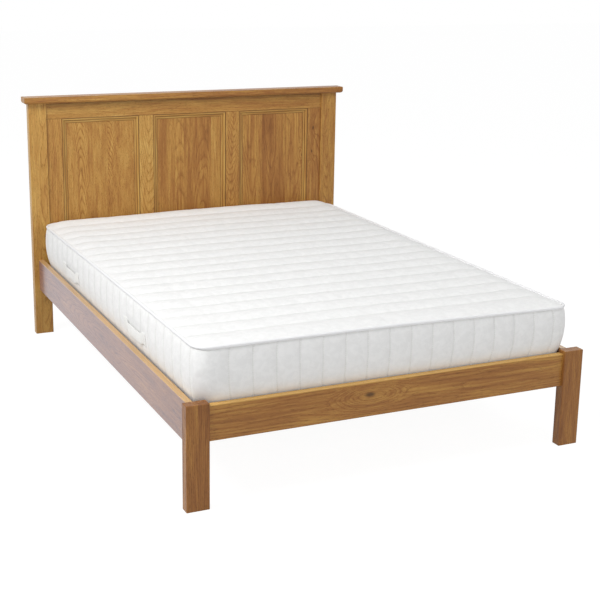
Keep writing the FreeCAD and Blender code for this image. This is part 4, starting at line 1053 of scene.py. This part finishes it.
ticking, tree = new_material("cotton ticking, knitted damask, off-white")
laid = add(tree, "UVMap", uv_map="cloth")
where = add(tree, "TexCoord")
WAVE = 0.314                    # a wave texture of scale 1 repeats every 0.314 m
KNIT = 0.003                    # drawn spacing of the wales
wales = add(tree, "TexWave", {"Vector": laid, "Scale": WAVE / KNIT, "Distortion": 1.5,
                              "Detail": 1.0, "Detail Scale": 2.0}, bands_direction="X")
figure = add(tree, "TexNoise", {"Vector": where.outputs["Object"], "Scale": 48.0, "Detail": 3.0,
                                "Roughness": 0.6, "Distortion": 0.6})
blotch = add(tree, "MapRange", [figure.outputs["Fac"], 0.42, 0.60])
seam = add(tree, "Attribute", attribute_name="seam")
on_border = add(tree, "Math MULTIPLY", [seam.outputs["Fac"], -1.0])
run_along = add(tree, "Attribute", attribute_name="run")
STITCH = 0.007
beat = add(tree, "Math MULTIPLY", [run_along.outputs["Fac"], 2 * math.pi / STITCH])
beat = add(tree, "Math SINE", [beat])
beat = add(tree, "MapRange", [beat, -0.9, -0.3])
line = add(tree, "MapRange", [on_border, 0.72, 0.93])
thread = add(tree, "Math MULTIPLY", [line, beat])
colour = towards(tree, linear("efefee"), blotch, "f4f4f3")
faded = add(tree, "Math MULTIPLY", [thread, 0.16])
colour = towards(tree, colour, faded, "b9b2a6")
# painted shade: the cloth is greyer where it meets the tape, on both sides of it
tape_shade_mask = add(tree, "Attribute", attribute_name="tape_shade")
tape_shade_mask = add(tree, "MapRange", {0: tape_shade_mask.outputs["Fac"], 1: 0.25, 2: 1.0, 4: 0.22})
colour = towards(tree, colour, tape_shade_mask, "a9a59d")
groove = add(tree, "Math ABSOLUTE", [seam.outputs["Fac"]])
groove = add(tree, "MapRange", [groove, 0.55, 1.0, 0.0, -3.0], interpolation_type="SMOOTHSTEP")
height = add(tree, "Math MULTIPLY_ADD", [wales.outputs["Fac"], 0.25, groove])
height = add(tree, "Math MULTIPLY_ADD", [blotch, 0.25, height])
sheen_cloth(tree, colour, 0.85, height, 0.0004)
cover.data.materials.append(ticking)

TAPE_THREAD = 0.0025
tape_weave, tree = new_material("polyester tape, plain weave, white")
where = add(tree, "TexCoord")
threads = add(tree, "TexWave", {"Vector": where.outputs["Object"], "Scale": WAVE / TAPE_THREAD,
                                "Distortion": 2.0}, bands_direction="DIAGONAL")
sheen_cloth(tree, linear("f3f3f4"), 0.7, threads.outputs["Fac"], 0.0003)
for piece in (top_tape, bottom_tape):
    piece.data.materials.append(tape_weave)

TWILL, TWILL_FOLD = 0.004, 0.006        # width of a slanted rib, and of the rows they turn in
webbing, tree = new_material("cotton webbing, herringbone weave, white")
where = add(tree, "TexCoord")
parts = add(tree, "SeparateXYZ", {"Vector": where.outputs["Object"]})
folded = add(tree, "Math PINGPONG", [parts.outputs["Z"], TWILL_FOLD])
slanted = add(tree, "Math ADD", [parts.outputs["Y"], folded])
slanted = add(tree, "Math MULTIPLY", [slanted, 2 * math.pi / TWILL])
twill = add(tree, "Math SINE", [slanted])
mottle = add(tree, "TexNoise", {"Vector": where.outputs["Object"], "Scale": 260.0})
rough = add(tree, "Math MULTIPLY_ADD", [mottle.outputs["Fac"], 1.5, twill])
shade = add(tree, "MapRange", [rough, -0.2, 1.6])
colour = towards(tree, linear("ecebe7"), shade, "f8f8f6")
sheen_cloth(tree, colour, 0.8, rough, 0.00012)
for piece in straps:
    piece.data.materials.append(webbing)
print("fabrics:", ticking.name, "/", tape_weave.name, "/", webbing.name)
